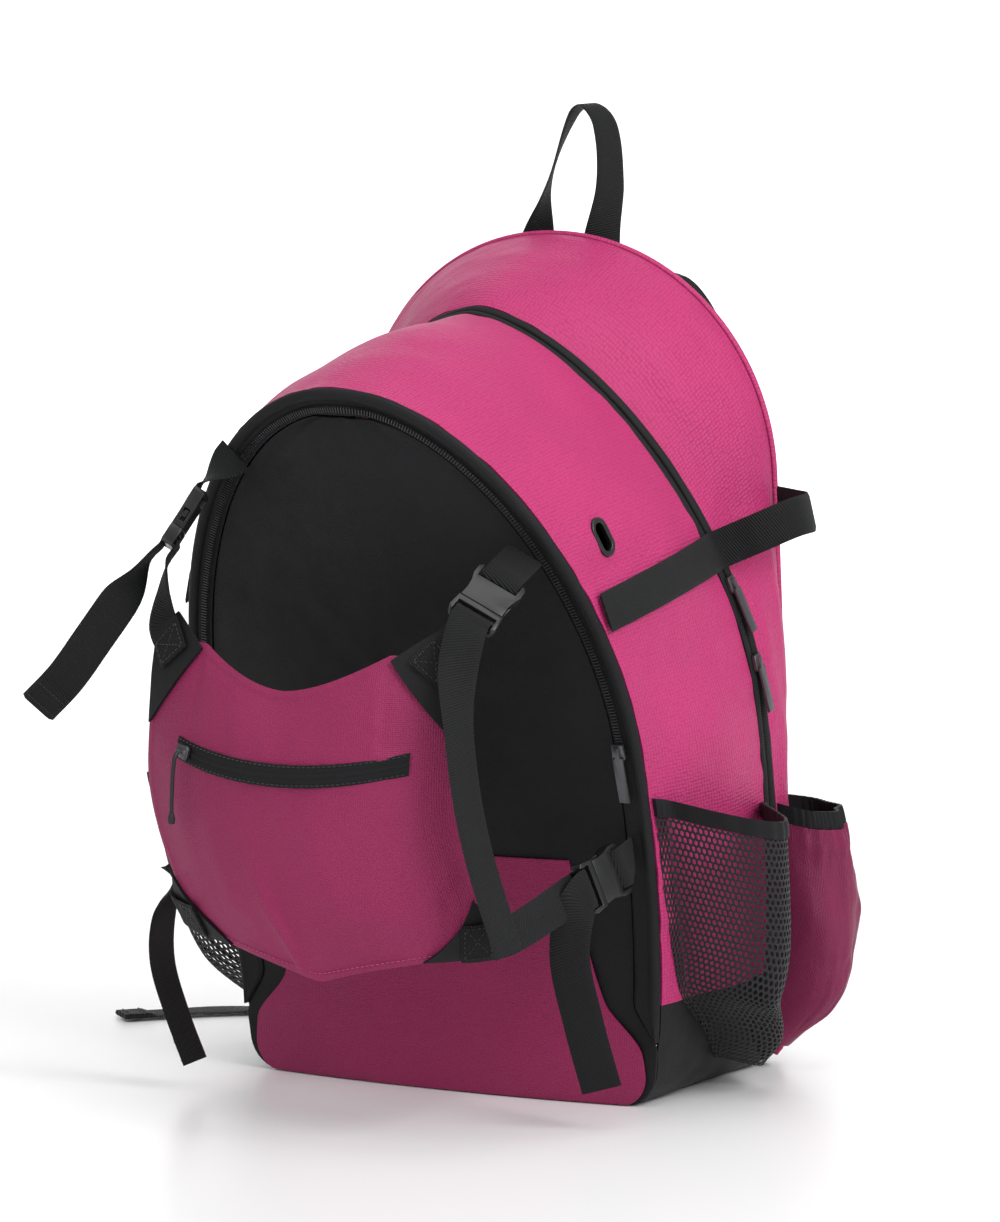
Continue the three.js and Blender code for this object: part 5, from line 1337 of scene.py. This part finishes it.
def box_stitch(name, line, first, count):
    """A sewn box with a cross over the end of a strap."""
    i = np.clip([first, first + count], 0, len(line["path"]) - 1)
    across = line["across"][i] * (WEBBING_WIDTH / 2 - BOX_INSET)
    corners = [line["path"][i[0]] - across[0], line["path"][i[0]] + across[0],
               line["path"][i[1]] + across[1], line["path"][i[1]] - across[1]]
    up = unit(line["normal"][i].mean(0))
    lift = up * (WEBBING / 2 + STITCH_LIFT)
    lines = [(0, 1), (1, 2), (2, 3), (3, 0), (0, 2), (1, 3)]
    return stitches(
        name, [(corners[a] + lift, corners[b] + lift) for a, b in lines], up, "black_thread", "webbing"
    )


def stitches(name, lines, up, material, slot, pitch=STITCH_PITCH):
    """Straight rows of stitches between pairs of points."""
    centres, ways, ups = [], [], []
    for k, (start, end) in enumerate(lines):
        start, end = np.asarray(start), np.asarray(end)
        length = np.linalg.norm(end - start)
        count = max(int(length / pitch), 1)
        way = (end - start) / max(length, 1e-9)
        face = np.asarray(up if np.ndim(up) == 1 else up[k])
        for j in range(count):
            centres.append(start + way * (j + 0.5) * length / count)
            ways.append(way)
            ups.append(unit(face - way * (face @ way)))
    centres, ways, ups = (np.array(x) for x in (centres, ways, ups))
    piece = bars(name, centres, np.cross(ways, ups), ways, ups, (THREAD_WIDTH, pitch * 0.68, THREAD_HEIGHT))
    return settle(piece, slot, material)


def row_stitches(name, path, normals, material, slot, pitch=ROW_PITCH):
    """A row of stitches along a path that lies on cloth."""
    reach = np.concatenate([[0], np.cumsum(np.linalg.norm(np.diff(path, axis=0), axis=1))])
    count = int(reach[-1] / pitch)
    at = (np.arange(count) + 0.5) * pitch
    centres = np.stack([np.interp(at, reach, path[:, i]) for i in range(3)], -1)
    ahead = np.stack([np.interp(at + pitch / 3, reach, path[:, i]) for i in range(3)], -1)
    ups = np.stack([np.interp(at, reach, normals[:, i]) for i in range(3)], -1)
    ways = unit(ahead - centres)
    ups = unit(ups - ways * np.einsum("ij,ij->i", ups, ways)[:, None])
    piece = bars(name, centres, np.cross(ways, ups), ways, ups, (THREAD_WIDTH, pitch * 0.66, THREAD_HEIGHT))
    return settle(piece, slot, material)


def flap_relief(s, t):
    """Soft folds of the helmet flap, with a ridge and a tug."""
    folds = 0.0014 * soft_noise(s * 2.2 + t, t * 2.4, 61) + 0.0005 * soft_noise(s * 8, t * 7, 62)
    ridge = 0.0022 * np.exp(-((s + 0.18 + 0.25 * t) / 0.05) ** 2) * ramp((0.42 - t) / 0.3)
    tug = 0.0016 * np.exp(-((t - 0.30 - 0.35 * (s - 0.8)) / 0.035) ** 2) * ramp((s - 0.35) / 0.3)
    return folds + ridge + tug


def make_flap(steps):
    """The helmet flap with its corner patches and zip."""
    a = np.linspace(0, 1, steps)[:, None]
    s = np.linspace(-1, 1, steps)[None, :]
    aa, ss = np.broadcast_arrays(a, s)
    t = mix(flap_foot(ss) * (1 - aa), flap_top(ss), aa)
    edge = np.minimum(np.minimum(aa, 1 - aa) * FLAP_HEIGHT, (1 - np.abs(ss)) * FLAP_WIDTH / 2)
    calm = ramp(edge / 0.012)
    hem = 0.0005 * (1 - ramp((edge - 0.0045) / 0.0008))
    under = sum(
        ramp((t - p["t"]) * p["way"] / 0.04) * ramp((np.abs(ss) - p["s"]) / 0.05) for p in SMOOTH_PLACES
    )
    relief = np.clip(flap_relief(ss, t) * calm * (1 - under), -0.003, 0.004)
    outer = flap_point(ss, t, CLOTH + relief + hem)
    inner = flap_point(ss, t, relief)
    # The flap takes the pink ripstop darkened by painted shade
    flap = settle(shell("helmet_flap_cloth", outer, inner), "pink_ripstop", "pink_flap_cloth", "helmet_flap")
    cut = flap_point(ss, t, CLOTH / 2)
    patches = [make_patch(patch, side, sign) for patch in PATCHES for side, sign in SIDES]
    k = np.linspace(-0.965, 0.965, 160)
    foot = flap_foot(k)
    up = flap_normal(k, foot + 0.03)
    pieces = [flap, *patches, row_stitches(
        "flap_foot_stitching", flap_point(k, foot + 0.032, CLOTH + 0.0006), up, "pink_thread", "pink_ripstop",
    )]

    k = np.linspace(-1, 1, 120)[:, None]
    b = np.linspace(-0.5, 0.5, 25)[None, :]
    kk, bb = np.broadcast_arrays(k, b)
    rise = 0.0008 + 0.0008 * np.exp(-(bb / 0.07) ** 2) + 0.0006 * np.exp(-((np.abs(bb) - 0.26) / 0.07) ** 2)
    rise = rise * ramp((0.5 - np.abs(bb)) / 0.05 + 0.4)
    band = shell(
        "flap_zip_band", flap_zip_at(kk, bb * FLAP_ZIP_WIDTH, rise),
        flap_zip_at(kk, bb * FLAP_ZIP_WIDTH, 0 * rise),
    )
    pieces.append(settle(band, "trim", "zip_tape", "flap_zip"))
    k = np.linspace(-0.985, 0.985, 90)
    for edge_name, offset in (("upper", 0.40), ("lower", -0.40)):
        path = flap_zip_at(k, offset * FLAP_ZIP_WIDTH, 0.0012)
        up = flap_normal(*flap_zip_place(k, 0.0))
        pieces.append(row_stitches(f"flap_zip_stitching_{edge_name}", path, up, "black_thread", "trim"))
    return pieces


def make_patch(patch, side, sign):
    """A black patch on a corner of the flap, which carries a strap."""
    a = np.linspace(0, 1, 40)[:, None, None]
    b = np.linspace(0, 1, 40)[None, :, None]
    (low_a, low_b), (high_a, high_b) = np.array(patch["start"]), np.array(patch["end"])
    at = mix(mix(low_a, low_b, b), mix(high_a, high_b, b), a)
    s, t = sign * at[..., 0], at[..., 1]
    fold = 0.0004 * soft_noise(s * 12, t * 10, 71 + sign)
    lift = CLOTH + 3 * GAP + fold
    name = patch["name"]
    piece = shell(f"{name}_cloth_{side}", flap_point(s, t, lift + CLOTH), flap_point(s, t, lift))
    settle(piece, "black_cloth", "black_cloth", f"{name}_{side}")
    return piece


def make_pull():
    """The flap zip's slider, its pull cord and the cord's end."""
    slider = settle(dressed("flap_zip_slider", METAL_EASE), "slider_metal", "coated_metal", "flap_zip_slider")
    at = flap_zip_at(SLIDER_PLACE, 0.0, FLAP_ZIP_THICK + GAP)
    normal = unit(flap_zip_at(SLIDER_PLACE, 0.0, 0.001) - flap_zip_at(SLIDER_PLACE, 0.0, 0.0))
    lift = SLIDER_HEIGHT * 0.65 + GAP + PULL_CORD_DIAMETER / 2
    start = at + normal * lift + (0, -PULL_CORD_DIAMETER / 2 - GAP, 0)
    path, _ = spline(start + np.array(CORD_POINTS), 0.001)
    piece = settle(
        tube("flap_zip_pull_cord", round_path(path, PULL_CORD_DIAMETER / 2, 12)), "pull", "pull_cord",
        "flap_zip_cord"
    )
    end = settle(dressed("flap_zip_cord_end", METAL_EASE), "pull", "pull_cord", "flap_zip_cord_end")
    return [slider, piece, end]


WRAP = BUCKLE_THICK / 2 + GAP + WEBBING / 2
BAR_TOP = WRAP - BUCKLE_THICK * 0.2
PLUG_BAR = -PLUG_LENGTH + BAR_DEPTH / 2
PLUG_SLOT = -PLUG_LENGTH + BAR_DEPTH + SLOT_DEPTH / 2
SOCKET_BAR = SOCKET_LENGTH - BAR_DEPTH / 2
SOCKET_SLOT = SOCKET_LENGTH - BAR_DEPTH - SLOT_DEPTH / 2


def round_bar(matrix, bar, slot, outward_way):
    """Points of webbing that comes under a bar, up through the slot and back over the bar."""
    return placed(
        matrix, (0, bar + outward_way * BAR_DEPTH * 3, -WRAP),
        (0, bar + outward_way * BAR_DEPTH * 0.85, -WRAP),
        (0, slot + outward_way * SLOT_DEPTH * 0.28, -WRAP), (0, slot, -WRAP * 0.55), (0, slot, WRAP * 0.25),
        (0, slot + outward_way * SLOT_DEPTH * 0.36, BAR_TOP), (0, bar + outward_way * BAR_DEPTH, BAR_TOP),
    )


def make_flap_straps():
    """The four straps of the flap with their buckles and anchors."""
    pieces = []
    for strap in FLAP_STRAPS:
        name, sign = strap["name"], strap["sign"]
        anchor_u = FRONT.share_at(strap["anchor_height"] * HEIGHT)
        anchor_lift = ZIP_RISE * 2 + WEBBING + GAP
        anchor = face_edge(anchor_u, strap["anchor_inset"] * FRONT_ZIP_WIDTH, anchor_lift) * (sign, 1, 1)
        sewn = np.array(strap["sewn"]["points"]) * (sign, 1)
        seam = flap_point(sewn[:, 0], sewn[:, 1], strap["sewn"]["lift"] + WEBBING / 2)
        straight = unit(anchor - seam[-1])
        middle = mix(
            seam[-1], anchor, strap["share"],
        ) + straight * PLUG_LENGTH + np.array(strap["bow"]) * STRAP_BOW
        way = unit(anchor - middle)
        level = frame_at(middle, way, np.array(strap["outside"]))
        matrix = level.copy()
        matrix[:3, 3] = placed(level, (0, 0, WRAP))[0]
        across = matrix[:3, 0]
        around = round_bar(matrix, PLUG_BAR, PLUG_SLOT, -1)
        tail, _ = spline(
            np.concatenate([around[-1:], around[-1] + np.array(strap["tail"]) * STRAP_TAIL]), 0.006,
        )
        points = np.concatenate([seam, around, tail[1:]])
        steps = np.diff(seam, axis=0)
        sewn_way = np.concatenate([steps, steps[-1:]])
        acrosses = [unit(np.cross(w, flap_normal(*p))) for w, p in zip(sewn_way, sewn)]
        count = len(points) - len(seam)
        hung = ramp((np.arange(count) - len(around)) / max(len(tail) * 0.36, 1))
        acrosses += [unit(mix(across, np.array(strap["hang"]), h)) for h in hung]
        piece, line = ribbon(f"{name}_webbing", points, acrosses, WEBBING_WIDTH, WEBBING, FOLDED_END)
        pieces.append(settle(piece, "webbing", "webbing_weave", f"{name}_strap"))
        pieces.append(end_stitches(f"{name}_end_stitching", line))
        pieces.append(box_stitch(f"{name}_seam_stitching", line, 1, 7))
        over = placed(
            matrix, (0, SOCKET_SLOT, -WRAP * 0.2), (0, SOCKET_SLOT, WRAP * 0.3),
            (0, SOCKET_BAR - BAR_DEPTH * 0.17, BAR_TOP), (0, SOCKET_BAR + BAR_DEPTH * 1.2, BAR_TOP),
        )
        flat = unit(np.cross(face_normal(anchor[2]), way))
        flat = flat * np.sign(flat @ across)
        k = np.array([0.25, 0.5, 0.75, 1.0])[:, None]
        points = np.concatenate([over, mix(over[-1], anchor, k)])
        acrosses = [across] * len(over) + list(unit(mix(across, flat, k)))
        piece, line = ribbon(f"{name}_anchor_webbing", points, acrosses, WEBBING_WIDTH, WEBBING)
        pieces.append(settle(piece, "webbing", "webbing_weave", f"{name}_anchor"))
        for part in ("buckle_socket", "buckle_plug"):
            pieces.append(
                settle(dressed(f"{name}_{part}", PLASTIC_EASE), "plastic", "black_plastic", f"{name}_{part}"),
            )
    return pieces


def end_stitches(name, line):
    """Two rows of stitches across the folded end of a strap."""
    rows = []
    for distance in END_ROWS:
        i = int(np.argmin(np.abs(line["to_end"] - distance)))
        middle = line["path"][i] + line["normal"][i] * (WEBBING * 1.5 + STITCH_LIFT)
        across = line["across"][i] * (WEBBING_WIDTH / 2 - END_INSET)
        rows.append((middle - across, middle + across))
    return stitches(name, rows, line["normal"][i], "black_thread", "webbing", pitch=END_PITCH)


def make_handle():
    """The grab handle on the crown."""
    t = np.linspace(0, 1, 45)
    turn = look_up(HANDLE, "twist", t) * 2 * math.pi
    z = HEIGHT - PADDING + HANDLE_HEIGHT * look_up(HANDLE, "z", t)
    y = BACK.crown_y + 2 * PIPING_RADIUS + PADDING + 3.4 * GAP + WEBBING
    points = np.stack([HANDLE_SPAN * look_up(HANDLE, "x", t), np.full(t.shape, y), z], -1)
    acrosses = np.stack([np.cos(turn), np.sin(turn), 0 * turn], -1)
    piece, _ = ribbon("grab_handle_webbing", points, acrosses, WEBBING_WIDTH, WEBBING)
    return [settle(piece, "webbing", "webbing_weave", "grab_handle")]


# The left tail's points: x and y as shares of its reach from the bag's rear corner, z of the webbing
FLOOR_TAIL = (
    (-0.1, 0.27, 15.3), (-0.4, 0.118, 3.5), (-0.6, -0.035, 1.65), (-0.8, -0.21, 1.53), (-1, -0.447, 1.53),
)


def shoulder_at(t):
    """The middle line of the right shoulder strap."""
    t = np.asarray(t, float)
    z = HEIGHT * look_up(SHOULDER, "z", t)
    back_y = BACK.depth_at(z) + GAP + PADDING * 1.5 + SHOULDER_THICK / 2 + 0.001
    bow = SHOULDER_BOW * (look_up(SHOULDER, "bow", t) - 0.1)
    return np.stack([SHOULDER_SPREAD * look_up(SHOULDER, "x", t), back_y + bow, z], -1)


def make_shoulder_straps(steps):
    """The padded shoulder straps with their adjusters, tabs and lower webbing."""
    pieces = []
    strap_end = shoulder_at(1.0)
    corner = np.array([
        FOOT_WIDTH / 2 - WEBBING_WIDTH * 0.88, FOOT_DEPTH / 2 + PIPING_RADIUS * 2 + 2 * GAP + WEBBING,
        WEBBING_WIDTH * 1.2,
    ])
    adjuster = mix(strap_end, corner, 0.3)
    for side, sign in SIDES:
        flip = np.array([sign, 1, 1])
        a = np.linspace(0, 1, steps * 2)[:, None]
        s = np.linspace(-1, 1, steps // 2)[None, :]
        aa, ss = np.broadcast_arrays(a, s)
        p = shoulder_at(aa)
        way = unit(shoulder_at(np.minimum(aa + 0.02, 1)) - shoulder_at(np.maximum(aa - 0.02, 0)))
        across = unit(np.array([1.0, 0, 0]) - way * way[..., :1])
        normal = np.cross(across, way)
        body = ramp(np.minimum(aa, 1 - aa) * 10 + 0.3)
        rim = 0.0011 * np.exp(-((np.abs(ss) - 0.88) / 0.03) ** 2)
        thick = SHOULDER_THICK / 2 * (0.3 + 0.7 * (1 - ss ** 4) * body) - rim
        p = p + across * (ss * SHOULDER_WIDTH / 2 * look_up(SHOULDER, "width", aa))[..., None]
        pad = shell(
            f"shoulder_strap_padding_{side}", (p + normal * thick[..., None]) * flip,
            (p - normal * thick[..., None]) * flip
        )
        pieces.append(settle(pad, "padding_cloth", "padding_cloth", f"shoulder_strap_{side}"))
        way = unit((corner - strap_end) * flip)
        matrix = frame_at(adjuster * flip, way, np.array([0, 1, 0.2]))
        across = matrix[:3, 0]
        pieces.append(
            settle(dressed(f"strap_adjuster_{side}", PLASTIC_EASE), "plastic", "black_plastic",
            f"strap_adjuster_{side}")
        )
        half = ADJUSTER_LENGTH / 2
        tab = np.array([strap_end * flip + way * WEBBING * 1.8, placed(matrix, (0, -half - 2 * GAP, 0))[0]])
        piece, _ = ribbon(f"strap_tab_webbing_{side}", tab, [across, across], WEBBING_WIDTH, WEBBING)
        pieces.append(settle(piece, "webbing", "webbing_weave", f"strap_tab_{side}"))
        level = ADJUSTER_THICK / 2 + GAP + WEBBING / 2

        def local(*rows):
            """Points near the adjuster, with shares of its length and of the webbing's level."""
            return placed(matrix, *((0, share * ADJUSTER_LENGTH, rise * level) for share, rise in rows))

        low = [corner * flip, *local(
            (0.89, -1), (0.37, -1), (0.256, -0.5), (0.256, 0.7), (0.11, 1), (-0.09, 1),
        )]
        if sign > 0:
            ends = local((-0.17, 1.7), (0.44, 2.6), (1.9, 2.3), (3.9, 1.7))
        else:
            out = np.array([-FOOT_WIDTH / 2, FOOT_DEPTH / 2, 0])
            on_floor = out + np.array(FLOOR_TAIL) * (TAIL_REACH, TAIL_REACH, WEBBING)
            ends = np.concatenate([local((-0.17, 1.7), (0.56, 3), (2.2, 4.2)), on_floor])
        tail, _ = spline(np.concatenate([low[-1:], ends]), 0.009)
        points = np.concatenate([low, tail[1:]])
        reach = np.concatenate([[0], np.cumsum(np.linalg.norm(np.diff(tail, axis=0), axis=1))])[1:]
        flat = np.array([0.5, 0.86, 0])
        turned = ramp((reach - 0.02) / 0.11) if sign < 0 else 0 * reach
        acrosses = [across] * len(low) + [unit(mix(across, flat, k)) for k in turned]
        piece, line = ribbon(
            f"shoulder_webbing_strap_{side}", points, acrosses, WEBBING_WIDTH, WEBBING, FOLDED_END,
        )
        pieces.append(settle(piece, "webbing", "webbing_weave", f"shoulder_webbing_{side}"))
        pieces.append(end_stitches(f"shoulder_webbing_end_stitching_{side}", line))
    return pieces


def make_hardware():
    """The eyelet and the sliders of the main and front zips."""
    pieces = [settle(dressed("eyelet", RIM_EASE), "plastic", "black_plastic", "eyelet")]
    for node in ("main_zip_slider_upper", "main_zip_slider_lower", "front_zip_slider"):
        pieces.append(settle(dressed(node, METAL_EASE), "slider_metal", "coated_metal", node))
    return pieces


# Making the studio


# Turn from the camera in degrees, height, distance, size and aim in metres, and the setting of its power
LIGHTS = (
    dict(name="key_light", turn=48, height=1.8, distance=2.6, size=1.6, aim=(0, 0.28), power="key"),
    dict(name="fill_light", turn=-45, height=1.1, distance=2.8, size=2.2, aim=(0, 0.28), power="fill"),
    dict(name="crown_light", turn=10, height=3.0, distance=0.6, size=2.4, aim=(0, 0.28), power="crown"),
    dict(name="floor_light", turn=180, height=3.2, distance=4.0, size=3.5, aim=(6, 0), power="backdrop"),
)


def make_studio(studio):
    """A pale floor that sweeps up behind the bag, soft lights, and the camera."""
    width, depth, rise = 14.0, 6.0, 6.0
    rows = [(-7.0, 0.0)] + [
        (depth + 1.5 * math.sin(k * TURN / 12), 1.5 * (1 - math.cos(k * TURN / 12))) for k in range(13)
    ]
    rows.append((depth + 1.5, rise))
    points = [(x, y, z) for y, z in rows for x in (-width / 2, width / 2)]
    faces = [(2 * i, 2 * i + 1, 2 * i + 3, 2 * i + 2) for i in range(len(rows) - 1)]
    mesh = bpy.data.meshes.new("studio_floor")
    mesh.from_pydata(points, [], faces)
    mesh.polygons.foreach_set("use_smooth", [True] * len(mesh.polygons))
    floor = bpy.data.objects.new("studio_floor", mesh)
    floor.rotation_euler = (0, 0, math.radians(studio.azimuth))
    bpy.context.scene.collection.objects.link(floor)
    mesh.materials.append(bpy.data.materials["studio_floor"])

    target = np.array(studio.target) + HOME
    azimuth, elevation = math.radians(studio.azimuth), math.radians(studio.elevation)
    way = Vector(
        (math.sin(azimuth) * math.cos(elevation), -math.cos(azimuth) * math.cos(elevation),
        math.sin(elevation))
    )
    camera = bpy.data.objects.new("studio_camera", bpy.data.cameras.new("studio_camera"))
    camera.data.sensor_fit = "VERTICAL"
    camera.data.sensor_height = 36
    camera.data.lens = studio.lens
    camera.data.clip_end = 60
    camera.location = Vector(target) + way * studio.distance
    camera.rotation_euler = (-way).to_track_quat("-Z", "Y").to_euler()
    bpy.context.scene.collection.objects.link(camera)
    bpy.context.scene.camera = camera

    for row in LIGHTS:
        light = bpy.data.lights.new(row["name"], "AREA")
        light.shape = "SQUARE"
        light.size = row["size"]
        light.energy = getattr(studio, row["power"])
        lamp = bpy.data.objects.new(row["name"], light)
        angle = math.radians(studio.azimuth + row["turn"])
        distance, (back, up) = row["distance"], row["aim"]
        lamp.location = Vector((math.sin(angle) * distance, -math.cos(angle) * distance, row["height"]))
        aim = Vector((-math.sin(azimuth) * back, math.cos(azimuth) * back, up)) - lamp.location
        lamp.rotation_euler = aim.to_track_quat("-Z", "Y").to_euler()
        bpy.context.scene.collection.objects.link(lamp)
    world = bpy.data.worlds.get("studio_world") or bpy.data.worlds.new("studio_world")
    world.use_nodes = True
    sky = next(n for n in world.node_tree.nodes if n.type == "BACKGROUND")
    sky.inputs[0].default_value = (1.0, 1.0, 1.0, 1.0)
    sky.inputs[1].default_value = studio.sky
    bpy.context.scene.world = world
    bpy.context.scene.view_settings.view_transform = "Standard"


# The add-on


class BagFinish(bpy.types.PropertyGroup):
    """Colours and scales of the bag's surfaces."""

    pink: bpy.props.FloatVectorProperty(
        name="Pink", description="Colour of the ripstop", subtype="COLOR", size=3,
        default=(0.52, 0.034, 0.165))
    black: bpy.props.FloatVectorProperty(
        name="Black", description="Colour of the black cloth", subtype="COLOR", size=3,
        default=(0.0055, 0.0058, 0.0065))
    floor: bpy.props.FloatVectorProperty(
        name="Floor", description="Colour of the floor", subtype="COLOR", size=3, default=(0.93, 0.93, 0.935))
    pebble: bpy.props.FloatProperty(
        name="Pebble", description="Width of one cell of the weave", default=0.0024, unit="LENGTH")


class BagDetail(bpy.types.PropertyGroup):
    """How finely the pieces are built."""

    gusset_steps: bpy.props.IntProperty(
        name="Gusset steps", description="Rows along each gusset", default=340,
    )
    zip_steps: bpy.props.IntProperty(name="Zip steps", description="Rows along each zip", default=420)
    panel_steps: bpy.props.IntProperty(name="Panel steps", description="Rows up each panel", default=110)
    pocket_steps: bpy.props.IntProperty(name="Pocket steps", description="Rows up each sleeve", default=90)
    flap_steps: bpy.props.IntProperty(name="Flap steps", description="Rows up the flap", default=130)
    cell_width: bpy.props.FloatProperty(
        name="Cell width", description="Width of one opening of the net", default=0.0036, unit="LENGTH")
    cell_height: bpy.props.FloatProperty(
        name="Cell height", description="Height of one opening of the net", default=0.0056, unit="LENGTH")
    strand: bpy.props.FloatProperty(
        name="Strand", description="Width of the net's strands", default=0.0011, unit="LENGTH")


class BagStudio(bpy.types.PropertyGroup):
    """The camera and the lights."""

    azimuth: bpy.props.FloatProperty(
        name="Azimuth", description="Camera's turn round the bag, in degrees", default=29.33,
    )
    elevation: bpy.props.FloatProperty(
        name="Elevation", description="Camera's angle above the floor, in degrees", default=6.69,
    )
    distance: bpy.props.FloatProperty(
        name="Distance", description="Camera to target", default=4.4916, unit="LENGTH",
    )
    target: bpy.props.FloatVectorProperty(
        name="Target", description="What the camera looks at, from the body's own origin",
        subtype="XYZ", size=3, default=(-0.00679, -0.01485, 0.29721))
    lens: bpy.props.FloatProperty(name="Lens", description="Focal length in millimetres", default=206.2)
    key: bpy.props.FloatProperty(name="Key", description="Power of the key light in watts", default=60.0)
    fill: bpy.props.FloatProperty(name="Fill", description="Power of the fill light in watts", default=12.0)
    crown: bpy.props.FloatProperty(
        name="Crown", description="Power of the light over the bag in watts", default=36.0,
    )
    backdrop: bpy.props.FloatProperty(
        name="Backdrop", description="Power of the light on the floor behind the bag in watts", default=200.0)
    sky: bpy.props.FloatProperty(name="Sky", description="Brightness of the surroundings", default=0.45)


class BAG_OT_materials(bpy.types.Operator):
    """Makes the bag's materials."""

    bl_idname = "bag.materials"
    bl_label = "Materials"

    def execute(self, context):
        make_materials(context.scene.bag_finish)
        return {"FINISHED"}


class BAG_OT_gussets(bpy.types.Operator):
    """Builds the pink walls between the arches."""

    bl_idname = "bag.gussets"
    bl_label = "Gussets"

    def execute(self, context):
        make_gussets(context.scene.bag_detail.gusset_steps)
        return {"FINISHED"}


class BAG_OT_zips(bpy.types.Operator):
    """Builds the zip bands and their coils."""

    bl_idname = "bag.zips"
    bl_label = "Zips"

    def execute(self, context):
        make_zips(context.scene.bag_detail.zip_steps)
        return {"FINISHED"}


class BAG_OT_base(bpy.types.Operator):
    """Builds the black pan under the bag."""

    bl_idname = "bag.base"
    bl_label = "Base"

    def execute(self, context):
        make_base(context.scene.bag_detail.panel_steps // 2)
        return {"FINISHED"}


class BAG_OT_face(bpy.types.Operator):
    """Builds the face and the pocket panel."""

    bl_idname = "bag.face"
    bl_label = "Face"

    def execute(self, context):
        make_face(context.scene.bag_detail.panel_steps)
        return {"FINISHED"}


class BAG_OT_back(bpy.types.Operator):
    """Builds the padded back and its piping."""

    bl_idname = "bag.back"
    bl_label = "Back"

    def execute(self, context):
        make_back(context.scene.bag_detail.panel_steps)
        return {"FINISHED"}


class BAG_OT_pockets(bpy.types.Operator):
    """Builds the net pockets and the sleeves."""

    bl_idname = "bag.pockets"
    bl_label = "Pockets"

    def execute(self, context):
        detail = context.scene.bag_detail
        make_pockets(detail.pocket_steps, detail.cell_width, detail.cell_height, detail.strand)
        return {"FINISHED"}


class BAG_OT_bat_straps(bpy.types.Operator):
    """Builds the bat straps."""

    bl_idname = "bag.bat_straps"
    bl_label = "Bat straps"

    def execute(self, context):
        make_bat_straps()
        return {"FINISHED"}


class BAG_OT_flap(bpy.types.Operator):
    """Builds the helmet flap with its patches and zip."""

    bl_idname = "bag.flap"
    bl_label = "Flap"

    def execute(self, context):
        make_flap(context.scene.bag_detail.flap_steps)
        return {"FINISHED"}


class BAG_OT_pull(bpy.types.Operator):
    """Builds the flap zip's slider and cord."""

    bl_idname = "bag.pull"
    bl_label = "Pull"

    def execute(self, context):
        make_pull()
        return {"FINISHED"}


class BAG_OT_flap_straps(bpy.types.Operator):
    """Builds the flap's straps and buckles."""

    bl_idname = "bag.flap_straps"
    bl_label = "Flap straps"

    def execute(self, context):
        make_flap_straps()
        return {"FINISHED"}


class BAG_OT_handle(bpy.types.Operator):
    """Builds the grab handle."""

    bl_idname = "bag.handle"
    bl_label = "Handle"

    def execute(self, context):
        make_handle()
        return {"FINISHED"}


class BAG_OT_shoulder_straps(bpy.types.Operator):
    """Builds the shoulder straps."""

    bl_idname = "bag.shoulder_straps"
    bl_label = "Shoulder straps"

    def execute(self, context):
        make_shoulder_straps(context.scene.bag_detail.pocket_steps)
        return {"FINISHED"}


class BAG_OT_hardware(bpy.types.Operator):
    """Builds the eyelet and the sliders."""

    bl_idname = "bag.hardware"
    bl_label = "Hardware"

    def execute(self, context):
        make_hardware()
        return {"FINISHED"}


class BAG_OT_studio(bpy.types.Operator):
    """Builds the floor, the lights and the camera."""

    bl_idname = "bag.studio"
    bl_label = "Studio"

    def execute(self, context):
        make_studio(context.scene.bag_studio)
        return {"FINISHED"}


OPERATORS = (
    BAG_OT_materials, BAG_OT_gussets, BAG_OT_zips, BAG_OT_base, BAG_OT_face, BAG_OT_back, BAG_OT_pockets,
    BAG_OT_bat_straps, BAG_OT_flap, BAG_OT_pull, BAG_OT_flap_straps, BAG_OT_handle,
    BAG_OT_shoulder_straps, BAG_OT_hardware, BAG_OT_studio,
)


class BAG_PT_panel(bpy.types.Panel):
    """Buttons and settings of the bat backpack."""

    bl_idname = "BAG_PT_panel"
    bl_label = "Bat backpack"
    bl_space_type = "VIEW_3D"
    bl_region_type = "UI"
    bl_category = "Bat backpack"

    def draw(self, context):
        for group in (context.scene.bag_finish, context.scene.bag_detail, context.scene.bag_studio):
            box = self.layout.box()
            for key in group.__annotations__:
                box.prop(group, key)
        for operator in OPERATORS:
            self.layout.operator(operator.bl_idname)


GROUPS = (("bag_finish", BagFinish), ("bag_detail", BagDetail), ("bag_studio", BagStudio))


def register():
    """Adds the settings, the operators and the panel."""
    for name, group in GROUPS:
        bpy.utils.register_class(group)
        setattr(bpy.types.Scene, name, bpy.props.PointerProperty(type=group))
    for kind in (*OPERATORS, BAG_PT_panel):
        bpy.utils.register_class(kind)


def unregister():
    """Takes them away again."""
    for kind in reversed((*OPERATORS, BAG_PT_panel)):
        bpy.utils.unregister_class(kind)
    for name, group in reversed(GROUPS):
        delattr(bpy.types.Scene, name)
        bpy.utils.unregister_class(group)


def main():
    """Builds the whole bag and its studio."""
    register()
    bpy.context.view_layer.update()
    for operator in OPERATORS:
        category, name = operator.bl_idname.split(".")
        getattr(getattr(bpy.ops, category), name)()
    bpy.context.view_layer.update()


if __name__ == "__main__":
    main()
